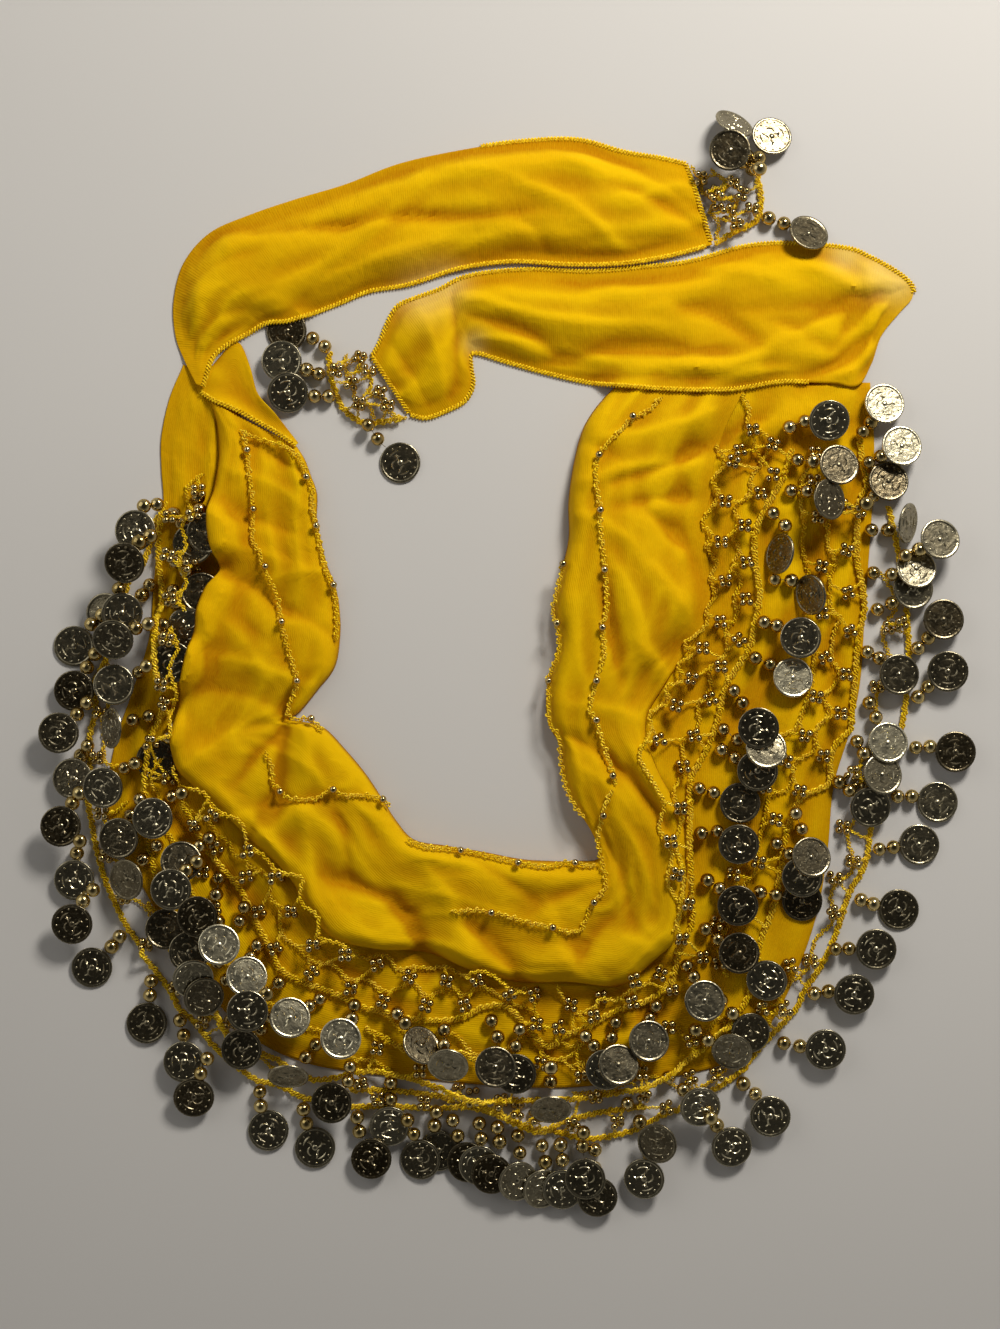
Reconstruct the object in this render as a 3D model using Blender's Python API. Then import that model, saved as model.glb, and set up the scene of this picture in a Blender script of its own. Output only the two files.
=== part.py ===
"""Belly dance hip scarf, laid out flat in a ring.

A long triangle of chiffon, folded at the waist edge, with a tie at each end. Three rows of beaded gold net
are sewn across it, each hung with a fringe of coin drops, and two gold braids run along the waist.

The scarf lies on the plane z = 0. Plan positions are in millimetres, from the lowest left corner of the
laid-out scarf: x to the right, y away from the reader. The last step moves that layout so that the origin is
at the bottom centre of its box, and everything is in metres from the start.
"""

import math
from collections import namedtuple

import bmesh
import bpy
import numpy as np
from mathutils import Matrix, Vector

MM = 0.001

# Driving sizes, in metres.
CLOTH_THICKNESS = 1.2 * MM
LACE_THICKNESS = 1.2 * MM
FRINGE_THICKNESS = 2.4 * MM
GAP = 0.4 * MM
SEAM_HALF_GAP = 0.2 * MM
CORE_MIN_THICKNESS = 0.8 * MM
COIN_RADIUS = 10.0 * MM
COIN_THICKNESS = 1.3 * MM
COIN_SIDES = 16
COIN_TIP = 0.6
BEAD_RADIUS = 3.3 * MM
BEAD_SIDES = 6
BEAD_RINGS = 5
BEAD_SPACING = 1.04
BEADS_ON_A_DROP = 2
THREAD_RADIUS = 0.9 * MM
THREAD_IN_COIN = 1.6 * MM
THREAD_PAST_BEADS = 1.0 * MM
MERGE_DISTANCE = 0.001 * MM
BRAID_RADIUS = 1.3 * MM
CLOTH_CELL = 10.0 * MM
TURN_CELL = 6.0 * MM
LACE_CELL = 10.0 * MM
FRINGE_CELL = 14.0 * MM
BRAID_STEP = 7.0 * MM

# Crowned cloth: how steep its sides are, the share of its crown that no trough goes below, and the crown
# above which folds have their full height.
CROWN_POWER = 2.2
CROWN_KEPT = 0.35
FOLDED_CROWN = 3.0 * MM
SHARP_EDGE = math.radians(50)

# The raster of heights that each layer is laid on, in cells across and up, with a margin round the scarf.
RASTER = 1.0 * MM
RASTER_MARGIN = 20
RASTER_SHAPE = (520, 600)

# One row for each section across a band of cloth, from one end of the band to the other. The outer edge
# faces the fringe, the inner edge faces the waist. Crown is how far the cloth stands up between them, and
# peak says where it is highest, from 0 at the outer edge to 1 at the inner.
Section = namedtuple("Section", "outer_x outer_y inner_x inner_y crown peak")

# A soft ridge along a straight line on the cloth, or a trough where the height is negative.
Fold = namedtuple("Fold", "x0 y0 x1 y1 width height")

# One row for each station along a net or a fringe: where it is sewn on, and where it ends.
Station = namedtuple("Station", "sewn_x sewn_y free_x free_y")

TIE_A = [
    Section(77, 409.5, 80.5, 408.5, 2, 0.5),
    Section(70.5, 422, 85, 423, 3, 0.5),
    Section(66, 434, 93, 430, 4, 0.5),
    Section(65, 451, 102, 435, 6, 0.5),
    Section(70, 470, 111, 440, 7, 0.5),
    Section(83, 485, 122, 441, 7, 0.5),
    Section(103, 494, 134, 445, 7, 0.5),
    Section(125, 501.5, 147, 450, 6, 0.5),
    Section(150, 509, 162, 456, 6, 0.5),
    Section(176, 519, 182, 459.5, 6, 0.5),
    Section(205, 525.5, 206, 467, 7, 0.5),
    Section(235, 530, 232, 470.5, 7, 0.5),
    Section(264, 531, 260, 469, 7, 0.5),
    Section(287, 525, 286, 469.5, 6, 0.5),
    Section(305, 522, 308, 473, 5, 0.5),
    Section(318, 519, 331, 479, 3, 0.5),
]
TIE_A_TURN = [
    Section(78, 410, 79, 406, 0.5, 0.5),
    Section(88, 424, 85, 402, 1.5, 0.5),
    Section(97, 431, 92, 399, 2, 0.5),
    Section(103, 419, 99, 396, 2, 0.5),
    Section(107, 405.5, 107, 391.5, 2, 0.5),
    Section(116, 395, 115, 387, 1.5, 0.5),
    Section(127, 381, 126, 379.5, 0.5, 0.5),
]
TIE_B = [
    Section(430, 458, 426, 452, 3, 0.5),
    Section(422, 465, 412, 447, 5, 0.5),
    Section(412, 471, 400, 438, 6, 0.5),
    Section(400, 477, 388, 424, 6, 0.5),
    Section(385, 479, 376, 411, 6, 0.5),
    Section(365, 480, 358, 409, 6, 0.5),
    Section(345, 478, 340, 406, 6, 0.5),
    Section(320, 471, 318, 406.5, 6, 0.5),
    Section(295, 468, 293, 408, 6, 0.5),
    Section(270, 466, 270, 411, 6, 0.5),
    Section(245, 467, 248, 416, 6, 0.5),
    Section(225, 466, 230, 421, 6, 0.5),
    Section(208, 463, 213.5, 425.5, 6, 0.5),
]
TIE_B_END = [
    Section(208, 463, 213.5, 425.5, 6, 0.5),
    Section(196, 457, 212, 419, 6, 0.5),
    Section(185, 453, 213, 410, 6, 0.5),
    Section(176, 449, 209, 402, 6, 0.5),
    Section(171, 441, 200, 397, 5, 0.5),
    Section(167, 431, 190, 393.5, 4, 0.5),
    Section(163, 424, 182, 395, 3, 0.5),
]
TIE_B_TURN = [
    Section(409, 412.5, 366, 414, 2, 0.5),
    Section(409.5, 421, 372, 425, 3, 0.5),
    Section(413, 432, 380, 436, 3, 0.5),
    Section(419, 441, 392, 446, 3, 0.5),
    Section(426.5, 450.5, 404, 455, 1, 0.5),
]
BODY_LEFT_TOP = [
    Section(84, 401, 126, 379.5, 2.5, 0.5),
    Section(87, 390, 130, 373, 4.5, 0.5),
    Section(88, 375, 133, 365, 7, 0.5),
    Section(86, 361, 136, 356, 7, 0.5),
    Section(83, 347, 136, 343, 7, 0.45),
    Section(84, 332, 138, 333, 8, 0.4),
    Section(88.5, 319, 141, 321, 8, 0.4),
    Section(82, 310, 145, 311, 8, 0.4),
    Section(78, 299, 147, 300, 8, 0.4),
    Section(77, 289, 147.5, 287, 9, 0.4),
    Section(73, 275, 145, 271, 9, 0.4),
    Section(70, 261, 137, 260, 9, 0.4),
    Section(67, 247, 128, 249, 9, 0.4),
    Section(66, 234, 121, 244, 9, 0.45),
    Section(66, 222, 121, 238, 8, 0.5),
]
BODY_BOTTOM_TOP = [
    Section(66, 222, 121, 238, 8, 0.5),
    Section(76, 211, 139, 241, 9, 0.5),
    Section(88, 201, 150, 230, 9, 0.5),
    Section(103, 186, 160, 218, 9, 0.5),
    Section(120, 170, 168, 206, 9, 0.5),
    Section(131, 154, 175, 195, 9, 0.5),
    Section(143, 138, 184, 185.5, 10, 0.5),
    Section(165, 132, 200, 182.5, 10, 0.5),
    Section(190, 130, 218, 179.5, 10, 0.5),
    Section(212, 121, 236, 176, 10, 0.5),
    Section(235, 115.5, 251, 175, 10, 0.5),
    Section(262, 115.5, 265, 175, 10, 0.5),
    Section(285, 113.5, 274.5, 176, 10, 0.55),
]
BODY_RIGHT_TOP = [
    Section(285, 113.5, 274.5, 176, 10, 0.55),
    Section(303, 127, 274, 183, 10, 0.6),
    Section(313, 138, 271, 190, 10, 0.6),
    Section(317, 158, 266, 198, 11, 0.65),
    Section(319, 180, 260, 208, 12, 0.65),
    Section(314, 201, 257, 219, 13, 0.65),
    Section(303, 222, 256, 231, 14, 0.65),
    Section(298, 243, 250, 243, 14, 0.65),
    Section(307, 261, 249, 256, 15, 0.7),
    Section(316, 275, 252, 270, 15, 0.7),
    Section(326, 290, 255, 285, 15, 0.7),
    Section(330, 306, 253, 300, 15, 0.7),
    Section(329, 322, 256, 316, 15, 0.75),
    Section(327, 340, 260, 334, 14, 0.75),
    Section(330, 356, 260, 353, 14, 0.75),
    Section(332, 372, 263, 373, 12, 0.7),
    Section(338, 390, 268, 390, 10, 0.6),
    Section(346, 406, 278, 404, 7, 0.5),
    Section(352, 418, 291, 415, 4, 0.5),
]
BODY_LEFT_UNDER = [
    Section(70, 420, 88, 412, 0, 0.5),
    Section(63, 403, 96, 402, 0, 0.5),
    Section(59, 384, 98, 386, 0, 0.5),
    Section(59, 369, 98, 368, 0, 0.5),
    Section(60, 350, 96, 350, 0, 0.5),
    Section(57, 330, 95, 330, 0, 0.5),
    Section(55, 308, 94, 310, 0, 0.5),
    Section(53, 285, 90, 288, 0, 0.5),
    Section(45, 259, 85, 266, 0, 0.5),
    Section(37, 236, 83, 246, 0, 0.5),
    Section(33, 212, 84, 228, 0, 0.5),
    Section(35, 188, 91, 212, 0, 0.5),
    Section(50, 162, 103, 196, 0, 0.5),
]
BODY_BOTTOM_UNDER = [
    Section(50, 162, 103, 196, 0, 0.5),
    Section(62, 140, 118, 180, 0, 0.5),
    Section(80, 114, 134, 163, 0, 0.5),
    Section(101, 90, 150, 147, 0, 0.5),
    Section(128, 76, 170, 142, 0, 0.5),
    Section(160, 70, 192, 141, 0, 0.5),
    Section(192, 67, 214, 135, 0, 0.5),
    Section(224, 64, 238, 130, 0, 0.5),
    Section(257, 63, 262, 128, 0, 0.5),
    Section(290, 66, 284, 130, 0, 0.5),
    Section(320, 70, 297, 138, 0, 0.5),
]
BODY_RIGHT_UNDER = [
    Section(320, 70, 297, 138, 0, 0.5),
    Section(346, 79, 303, 150, 0, 0.5),
    Section(362, 98, 305, 166, 0, 0.5),
    Section(374, 123, 304, 184, 0, 0.5),
    Section(383, 150, 300, 202, 0, 0.5),
    Section(388, 180, 290, 224, 0, 0.5),
    Section(391, 212, 287, 246, 0, 0.5),
    Section(399, 239, 296, 266, 0, 0.5),
    Section(404, 263, 308, 284, 0, 0.5),
    Section(406, 291, 316, 305, 0, 0.5),
    Section(408, 320, 316, 326, 0, 0.5),
    Section(410, 350, 316, 350, 0, 0.5),
    Section(411, 380, 321, 380, 0, 0.5),
    Section(409, 411, 334, 412, 0, 0.5),
]

FOLDS = [
    # Tie A: a long trough along the middle, and the pleats at its turn and its end.
    Fold(112, 486, 165, 493, 6, -2.5),
    Fold(165, 493, 236, 494, 5, -2.0),
    Fold(205, 515, 262, 496, 6, 1.8),
    Fold(262, 496, 282, 478, 6, 1.5),
    Fold(285, 508, 322, 487, 5, -1.8),
    Fold(122, 459, 185, 508, 5, 1.2),
    Fold(74, 430, 100, 446, 5, -1.5),
    # Tie B: the ridge along its middle, the trough below it, and the pleats that gather at the right tip.
    Fold(205, 455, 262, 443, 6, 1.5),
    Fold(262, 443, 310, 438, 6, 1.8),
    Fold(215, 440, 255, 424, 6, -2.0),
    Fold(255, 424, 312, 427, 7, -2.5),
    Fold(318, 446, 350, 430, 6, -2.0),
    Fold(376, 468, 411, 450, 4, 1.5),
    Fold(378, 462, 414, 452, 3, -1.5),
    Fold(201, 452, 205, 405, 5, -2.0),
    # Left body: the soft cross folds of the hanging cloth.
    Fold(90, 318, 118, 300, 7, -2.0),
    Fold(84, 296, 108, 270, 7, 1.5),
    Fold(120, 300, 144, 285, 6, -1.5),
    Fold(90, 345, 118, 340, 7, -1.2),
    Fold(76, 222, 110, 246, 6, 1.5),
    # Bottom: the fold below the waist corner and the folds that run to the fringe.
    Fold(103, 214, 121, 237, 6, -3.0),
    Fold(145, 165, 178, 150, 8, -3.0),
    Fold(178, 150, 188, 124, 7, -2.5),
    Fold(205, 178, 240, 160, 7, -2.0),
    Fold(212, 142, 236, 116, 7, -2.5),
    Fold(136, 196, 160, 170, 8, 2.0),
    Fold(250, 150, 262, 122, 7, 1.5),
    # Right body: the standing fold at the waist side and the pulls across the panel.
    Fold(280, 383, 340, 400, 6, 2.0),
    Fold(285, 367, 330, 383, 6, -3.0),
    Fold(272, 362, 328, 371, 6, 2.0),
    Fold(290, 350, 326, 353, 6, -2.5),
    Fold(300, 342, 326, 312, 7, -2.5),
    Fold(281, 320, 295, 280, 7, 2.5),
    Fold(295, 280, 308, 262, 6, 2.0),
    Fold(280, 302, 285, 268, 6, -3.0),
    Fold(258, 237, 284, 220, 6, -3.0),
    Fold(284, 220, 312, 182, 7, -2.5),
]

NET_1_BOTTOM = [
    Station(69, 215, 66, 200),
    Station(88, 200, 80, 184),
    Station(103, 185, 94, 165),
    Station(120, 169, 107, 145),
    Station(131, 152, 118, 128),
    Station(143, 137, 136, 114),
    Station(165, 131, 160, 104),
    Station(190, 129, 190, 97),
    Station(212, 120, 215, 101),
    Station(238, 114, 236, 96),
    Station(262, 114, 256, 87),
    Station(285, 112, 286, 99),
    Station(304, 125, 313, 117),
]
NET_1_RIGHT = [
    Station(304, 125, 313, 117),
    Station(316, 145, 325, 138),
    Station(319, 178, 329, 176),
    Station(314, 202, 329, 205),
    Station(300, 228, 331, 229),
    Station(300, 246, 339, 246),
    Station(316, 274, 348, 268),
    Station(328, 295, 353, 290),
    Station(330, 325, 354, 322),
    Station(328, 348, 358, 345),
    Station(332, 372, 369, 366),
    Station(343, 398, 374, 390),
]
NET_2_LEFT = [
    Station(84, 366, 61, 353),
    Station(77, 346, 57, 340),
    Station(75, 320, 57, 318),
    Station(73, 297, 57, 296),
    Station(69, 272, 56, 272),
    Station(65, 246, 53, 243),
    Station(63, 222, 50, 214),
    Station(67, 196, 52, 187),
    Station(75, 172, 58, 160),
]
NET_2_BOTTOM = [
    Station(75, 172, 58, 160),
    Station(88, 147, 70, 133),
    Station(106, 122, 88, 105),
    Station(130, 100, 115, 82),
    Station(160, 90, 152, 71),
    Station(190, 82, 186, 65),
    Station(220, 77, 220, 60),
    Station(252, 74, 254, 58),
    Station(284, 77, 290, 61),
    Station(314, 88, 324, 72),
    Station(334, 107, 350, 94),
]
NET_2_RIGHT = [
    Station(334, 107, 350, 94),
    Station(345, 136, 362, 126),
    Station(349, 162, 368, 155),
    Station(352, 186, 372, 180),
    Station(356, 207, 384, 204),
    Station(364, 228, 395, 224),
    Station(373, 250, 401, 247),
    Station(377, 275, 404, 272),
    Station(378, 305, 405, 303),
    Station(378, 335, 406, 333),
    Station(378, 362, 407, 360),
    Station(380, 388, 408, 386),
]
NET_3_LEFT = [
    Station(60, 352, 55, 345),
    Station(52, 320, 46, 318),
    Station(46, 292, 38, 290),
    Station(38, 262, 27, 260),
    Station(34, 238, 23, 238),
    Station(32, 212, 22, 210),
    Station(33, 190, 24, 184),
    Station(42, 168, 31, 160),
    Station(60, 138, 50, 131),
]
NET_3_BOTTOM = [
    Station(60, 138, 50, 131),
    Station(80, 111, 67, 100),
    Station(104, 86, 94, 74),
    Station(130, 74, 126, 60),
    Station(160, 69, 160, 53),
    Station(195, 66, 195, 51),
    Station(225, 62, 224, 47),
    Station(252, 60, 250, 41),
    Station(276, 60, 276, 37),
    Station(298, 63, 302, 45),
    Station(320, 68, 328, 57),
    Station(345, 77, 354, 76),
]
NET_3_RIGHT = [
    Station(345, 77, 354, 76),
    Station(362, 98, 372, 97),
    Station(374, 122, 386, 122),
    Station(383, 150, 398, 148),
    Station(388, 180, 406, 177),
    Station(391, 212, 413, 206),
    Station(400, 240, 424, 237),
    Station(405, 265, 428, 264),
    Station(407, 292, 428, 293),
    Station(409, 322, 424, 322),
    Station(411, 350, 419, 350),
]
NET_TIE_A = [
    Station(319.5, 518.5, 351, 512),
    Station(324.5, 510, 354, 503),
    Station(329.5, 500, 353, 493),
    Station(332.5, 490, 343, 486),
    Station(333, 480, 337, 480.5),
]
NET_TIE_B = [
    Station(162, 425, 144, 426),
    Station(166, 418.5, 143.5, 414),
    Station(170.5, 411.5, 147, 404),
    Station(175.5, 404, 152, 396.5),
    Station(181, 394, 163, 391),
]

FRINGE_1_BOTTOM = [
    Station(68, 198, 52, 182),
    Station(84, 177, 60, 158),
    Station(98, 156, 72, 136),
    Station(112, 134, 88, 112),
    Station(132, 114, 112, 88),
    Station(158, 102, 146, 74),
    Station(188, 95, 184, 68),
    Station(214, 99, 214, 66),
    Station(236, 94, 238, 64),
    Station(256, 86, 262, 62),
    Station(286, 97, 294, 68),
    Station(313, 115, 332, 96),
]
FRINGE_1_RIGHT = [
    Station(313, 115, 332, 96),
    Station(327, 138, 356, 128),
    Station(331, 176, 362, 168),
    Station(331, 205, 363, 200),
    Station(333, 229, 367, 226),
    Station(341, 246, 372, 246),
    Station(350, 268, 384, 264),
    Station(355, 290, 390, 288),
    Station(356, 322, 391, 320),
    Station(360, 345, 396, 350),
    Station(371, 366, 404, 372),
    Station(376, 389, 404, 396),
]
FRINGE_2_LEFT = [
    Station(55, 338, 36, 338),
    Station(55, 318, 32, 316),
    Station(55, 296, 25, 292),
    Station(54, 272, 24, 268),
    Station(51, 243, 22, 240),
    Station(48, 214, 22, 208),
    Station(50, 187, 30, 176),
    Station(56, 160, 44, 142),
]
FRINGE_2_BOTTOM = [
    Station(56, 160, 44, 142),
    Station(68, 133, 52, 118),
    Station(86, 104, 72, 84),
    Station(114, 80, 106, 56),
    Station(152, 69, 148, 42),
    Station(186, 63, 184, 37),
    Station(220, 58, 218, 34),
    Station(254, 56, 254, 34),
    Station(290, 59, 296, 38),
    Station(326, 70, 336, 48),
    Station(352, 93, 368, 78),
]
FRINGE_2_RIGHT = [
    Station(352, 93, 368, 78),
    Station(364, 126, 384, 112),
    Station(370, 155, 394, 142),
    Station(374, 180, 406, 170),
    Station(386, 204, 420, 190),
    Station(397, 224, 428, 214),
    Station(403, 247, 431, 242),
    Station(406, 272, 435, 268),
    Station(407, 303, 438, 300),
    Station(408, 333, 438, 332),
    Station(409, 360, 434, 362),
    Station(410, 384, 432, 386),
    Station(410, 400, 426, 404),
]
FRINGE_3_LEFT = [
    Station(54, 343, 40, 347),
    Station(45, 318, 31, 322),
    Station(36, 290, 14, 298),
    Station(26, 262, 4, 270),
    Station(22, 240, 0, 240),
    Station(21, 212, 2, 207),
    Station(22, 187, 2, 178),
    Station(28, 162, 6, 147),
    Station(40, 144, 12, 124),
    Station(50, 129, 22, 108),
]
FRINGE_3_BOTTOM = [
    Station(50, 129, 22, 108),
    Station(64, 103, 41, 88),
    Station(80, 85, 56, 62),
    Station(98, 70, 82, 42),
    Station(120, 60, 112, 27),
    Station(145, 54, 142, 20),
    Station(175, 51, 173, 17),
    Station(205, 49, 205, 14),
    Station(230, 44, 230, 6),
    Station(250, 39, 251, 1),
    Station(275, 35, 279, 0),
    Station(303, 43, 315, 8),
    Station(329, 55, 350, 26),
    Station(355, 74, 380, 54),
]
FRINGE_3_RIGHT = [
    Station(355, 74, 380, 54),
    Station(374, 96, 402, 82),
    Station(388, 121, 419, 112),
    Station(400, 147, 433, 140),
    Station(408, 177, 445, 174),
    Station(415, 205, 455, 204),
    Station(426, 236, 460, 234),
    Station(430, 264, 458, 266),
    Station(430, 293, 456, 297),
    Station(426, 322, 452, 328),
    Station(421, 348, 442, 351),
]

# The waist braids, as the points each one passes through.
BRAIDS = {
    "waist_braid_1_left": [
        (109, 381), (119, 377), (127, 371), (132, 364), (133.5, 350), (134, 338), (139, 322), (144, 310),
        (145, 297), (145, 284),
    ],
    "waist_braid_2_left": [
        (103, 376), (103, 362), (105, 345), (105, 333), (111, 320), (117, 305), (119, 292), (123, 278),
        (127, 264), (125, 255),
    ],
    "waist_braid_2_corner": [
        (110, 228), (115, 218), (120, 209), (133, 207), (147, 210), (160, 208), (171, 203),
    ],
    "waist_braid_1_bottom": [
        (196, 181), (212, 179), (232, 174), (250, 172), (264, 173),
    ],
    "waist_braid_2_bottom": [
        (204, 151), (222, 150), (240, 146), (256, 142), (266, 143), (271, 155), (277, 165), (277, 178),
        (276, 194), (281, 211),
    ],
    "waist_braid_1_right": [
        (258, 320), (256, 308), (255, 292), (255, 280), (252, 266), (252, 252), (254, 240), (258, 226),
        (262, 210), (268, 198),
    ],
    "waist_braid_2_right": [
        (300, 396), (288, 389), (277, 378), (275, 362), (277, 340), (278, 318), (278, 298), (277, 276),
        (273, 258), (274, 243), (279, 228),
    ],
}

# The coin drops at the ends of the ties: where the thread leaves the net, and where the coin lies.
Drop = namedtuple("Drop", "name anchor_x anchor_y coin_x coin_y")
DROPS_TIE_B = [
    Drop("tie_b_drop_1", 142, 429, 120, 437),
    Drop("tie_b_drop_2", 141.5, 414.5, 117.5, 421),
    Drop("tie_b_drop_3", 145, 403.5, 123.5, 405.5),
    Drop("tie_b_drop_4", 161, 388.5, 177, 371),
]
DROPS_TIE_A = [
    Drop("tie_a_drop_1", 350.5, 516, 361, 533.5),
    Drop("tie_a_drop_2", 346, 514.5, 334, 533),
    Drop("tie_a_drop_3", 355, 493, 378, 485),
]


def clear_scene():
    for obj in list(bpy.data.objects):
        bpy.data.objects.remove(obj, do_unlink=True)


def material(name, colour, roughness, metallic=0.0):
    made = bpy.data.materials.new(name)
    made.use_nodes = True
    shader = made.node_tree.nodes["Principled BSDF"]
    shader.inputs["Base Color"].default_value = (*colour, 1.0)
    shader.inputs["Roughness"].default_value = roughness
    shader.inputs["Metallic"].default_value = metallic
    return made


def smooth_rows(table, count):
    """The table's columns at this many even places, on a curve through its rows (Catmull-Rom)."""
    rows = np.array(table, float)
    padded = np.vstack([2 * rows[0] - rows[1], rows, 2 * rows[-1] - rows[-2]])
    place = np.linspace(0, len(rows) - 1, count)
    start = np.minimum(place.astype(int), len(rows) - 2)
    t = (place - start)[:, None]
    before, here, after, beyond = (padded[start + step] for step in range(4))
    return 0.5 * (
        2 * here
        + (after - before) * t
        + (2 * before - 5 * here + 4 * after - beyond) * t**2
        + (3 * here - before - 3 * after + beyond) * t**3
    )


def band(table, cell):
    """Plan points of a band in metres, a row for each cut across it, and the smoothed table behind them."""
    rows = np.array(table, float)[:, :4] * MM
    middle = (rows[:, :2] + rows[:, 2:]) / 2
    length = np.linalg.norm(np.diff(middle, axis=0), axis=1).sum()
    width = np.linalg.norm(rows[:, :2] - rows[:, 2:], axis=1).mean()
    cuts = smooth_rows(table, max(3, round(length / cell) + 1))
    across = np.linspace(0, 1, max(2, round(width / cell)) + 1)
    x = (cuts[:, 0:1] + (cuts[:, 2:3] - cuts[:, 0:1]) * across) * MM
    y = (cuts[:, 1:2] + (cuts[:, 3:4] - cuts[:, 1:2]) * across) * MM
    return open_seams(x, y) + (across, cuts)


def open_seams(x, y):
    """Moves the first and the last cut a little into the band, so that two bands that meet stay apart."""
    for end, beside in ((0, 1), (-1, -2)):
        step = np.stack([x[beside] - x[end], y[beside] - y[end]])
        length = np.linalg.norm(step, axis=0)
        x[end] += step[0] / length * SEAM_HALF_GAP
        y[end] += step[1] / length * SEAM_HALF_GAP
    return x, y


def crown_height(across, cuts):
    """How far the cloth stands up at each point of a band: steep at its edges, level at its peak."""
    crown = cuts[:, 4:5] * MM
    peak = np.clip(cuts[:, 5:6], 0.1, 0.9)
    rise = np.where(across < peak, across / peak, (1 - across) / (1 - peak))
    return crown * (1 - (1 - rise) ** CROWN_POWER)


def fold_height(x, y):
    """The sum of the soft ridges and troughs of FOLDS at these plan points."""
    total = np.zeros_like(x)
    for fold in FOLDS:
        start = np.array([fold.x0, fold.y0]) * MM
        along = np.array([fold.x1, fold.y1]) * MM - start
        length = np.linalg.norm(along)
        along /= length
        run = (x - start[0]) * along[0] + (y - start[1]) * along[1]
        side = (y - start[1]) * along[0] - (x - start[0]) * along[1]
        past_end = np.maximum(np.maximum(-run, run - length), 0)
        distance = np.hypot(side, past_end)
        total += fold.height * MM * np.exp(-((distance / (fold.width * MM)) ** 2))
    return total


class Stack:
    """The highest surface so far above each spot of the floor, on a 1 mm raster."""

    def __init__(self):
        self.height = np.zeros(RASTER_SHAPE)

    def cells(self, metres):
        return np.asarray(metres) / RASTER + RASTER_MARGIN

    def add(self, *objects):
        graph = bpy.context.evaluated_depsgraph_get()
        for obj in objects:
            mesh = obj.evaluated_get(graph).to_mesh()
            mesh.calc_loop_triangles()
            points = np.array([obj.matrix_world @ vertex.co for vertex in mesh.vertices])
            for triangle in mesh.loop_triangles:
                self.raise_under(points[list(triangle.vertices)])

    def raise_under(self, corners):
        """Lifts the raster to a triangle, at the spots inside it and at its corners."""
        plan = self.cells(corners[:, :2])
        low = np.floor(plan.min(axis=0)).astype(int) - 1
        high = np.ceil(plan.max(axis=0)).astype(int) + 2
        gx, gy = np.meshgrid(np.arange(low[0], high[0]), np.arange(low[1], high[1]), indexing="ij")
        (x0, y0), (x1, y1), (x2, y2) = plan
        area = (x1 - x0) * (y2 - y0) - (x2 - x0) * (y1 - y0)
        if abs(area) > 1e-9:
            second = ((gx - x0) * (y2 - y0) - (x2 - x0) * (gy - y0)) / area
            third = ((x1 - x0) * (gy - y0) - (gx - x0) * (y1 - y0)) / area
            inside = (second >= -0.02) & (third >= -0.02) & (second + third <= 1.02)
            z = corners[0, 2] + second * (corners[1, 2] - corners[0, 2])
            z += third * (corners[2, 2] - corners[0, 2])
            window = self.height[low[0]:high[0], low[1]:high[1]]
            window[inside] = np.maximum(window, z)[inside]
        for (px, py), z in zip(plan, corners[:, 2]):
            spot = np.s_[int(px):int(px) + 2, int(py):int(py) + 2]
            self.height[spot] = np.maximum(self.height[spot], z)

    def top(self, x, y, reach):
        """The highest surface within reach of each plan point."""
        radius = int(math.ceil(reach / RASTER))
        offsets = [
            (i, j)
            for i in range(-radius, radius + 1)
            for j in range(-radius, radius + 1)
            if i * i + j * j <= radius * radius
        ]
        column = np.rint(self.cells(x)).astype(int)
        row = np.rint(self.cells(y)).astype(int)
        return np.max([self.height[column + i, row + j] for i, j in offsets], axis=0)

    def floor_for(self, x, y):
        """How high a sheet through these points must lie to clear everything below it."""
        cell = max(
            np.hypot(np.diff(x, axis=0), np.diff(y, axis=0)).max(),
            np.hypot(np.diff(x, axis=1), np.diff(y, axis=1)).max(),
        )
        below = self.top(x, y, 1.3 * cell + 2 * RASTER)
        return np.where(below > 0, below + GAP, 0.0)


def link(obj, collection, look):
    obj.data.materials.append(look)
    collection.objects.link(obj)
    bpy.context.view_layer.update()
    return obj


def slab(name, x, y, low, high, look, collection):
    """A closed wall between two heights over a grid of plan points."""
    cuts, places = x.shape
    bm = bmesh.new()
    row = bm.verts.layers.int.new("row")
    column = bm.verts.layers.int.new("column")
    bmesh.ops.create_grid(bm, x_segments=places - 1, y_segments=cuts - 1, size=1)
    for vert in bm.verts:
        vert[row] = round((vert.co.y + 1) / 2 * (cuts - 1))
        vert[column] = round((vert.co.x + 1) / 2 * (places - 1))
    doubled = bmesh.ops.extrude_face_region(bm, geom=bm.faces[:], use_keep_orig=True)
    upper = {item for item in doubled["geom"] if isinstance(item, bmesh.types.BMVert)}
    for vert in bm.verts:
        spot = vert[row], vert[column]
        vert.co = (x[spot], y[spot], high[spot] if vert in upper else low[spot])
    bmesh.ops.recalc_face_normals(bm, faces=bm.faces[:])
    mesh = bpy.data.meshes.new(name)
    bm.to_mesh(mesh)
    bm.free()
    mesh.shade_smooth()
    mesh.set_sharp_from_angle(angle=SHARP_EDGE)
    return link(bpy.data.objects.new(name, mesh), collection, look)


def flat_cloth(name, table, look, collection):
    """A panel that lies flat on the floor."""
    x, y, _, _ = band(table, CLOTH_CELL)
    low = np.zeros_like(x)
    return slab(name, x, y, low, low + CLOTH_THICKNESS, look, collection)


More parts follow.
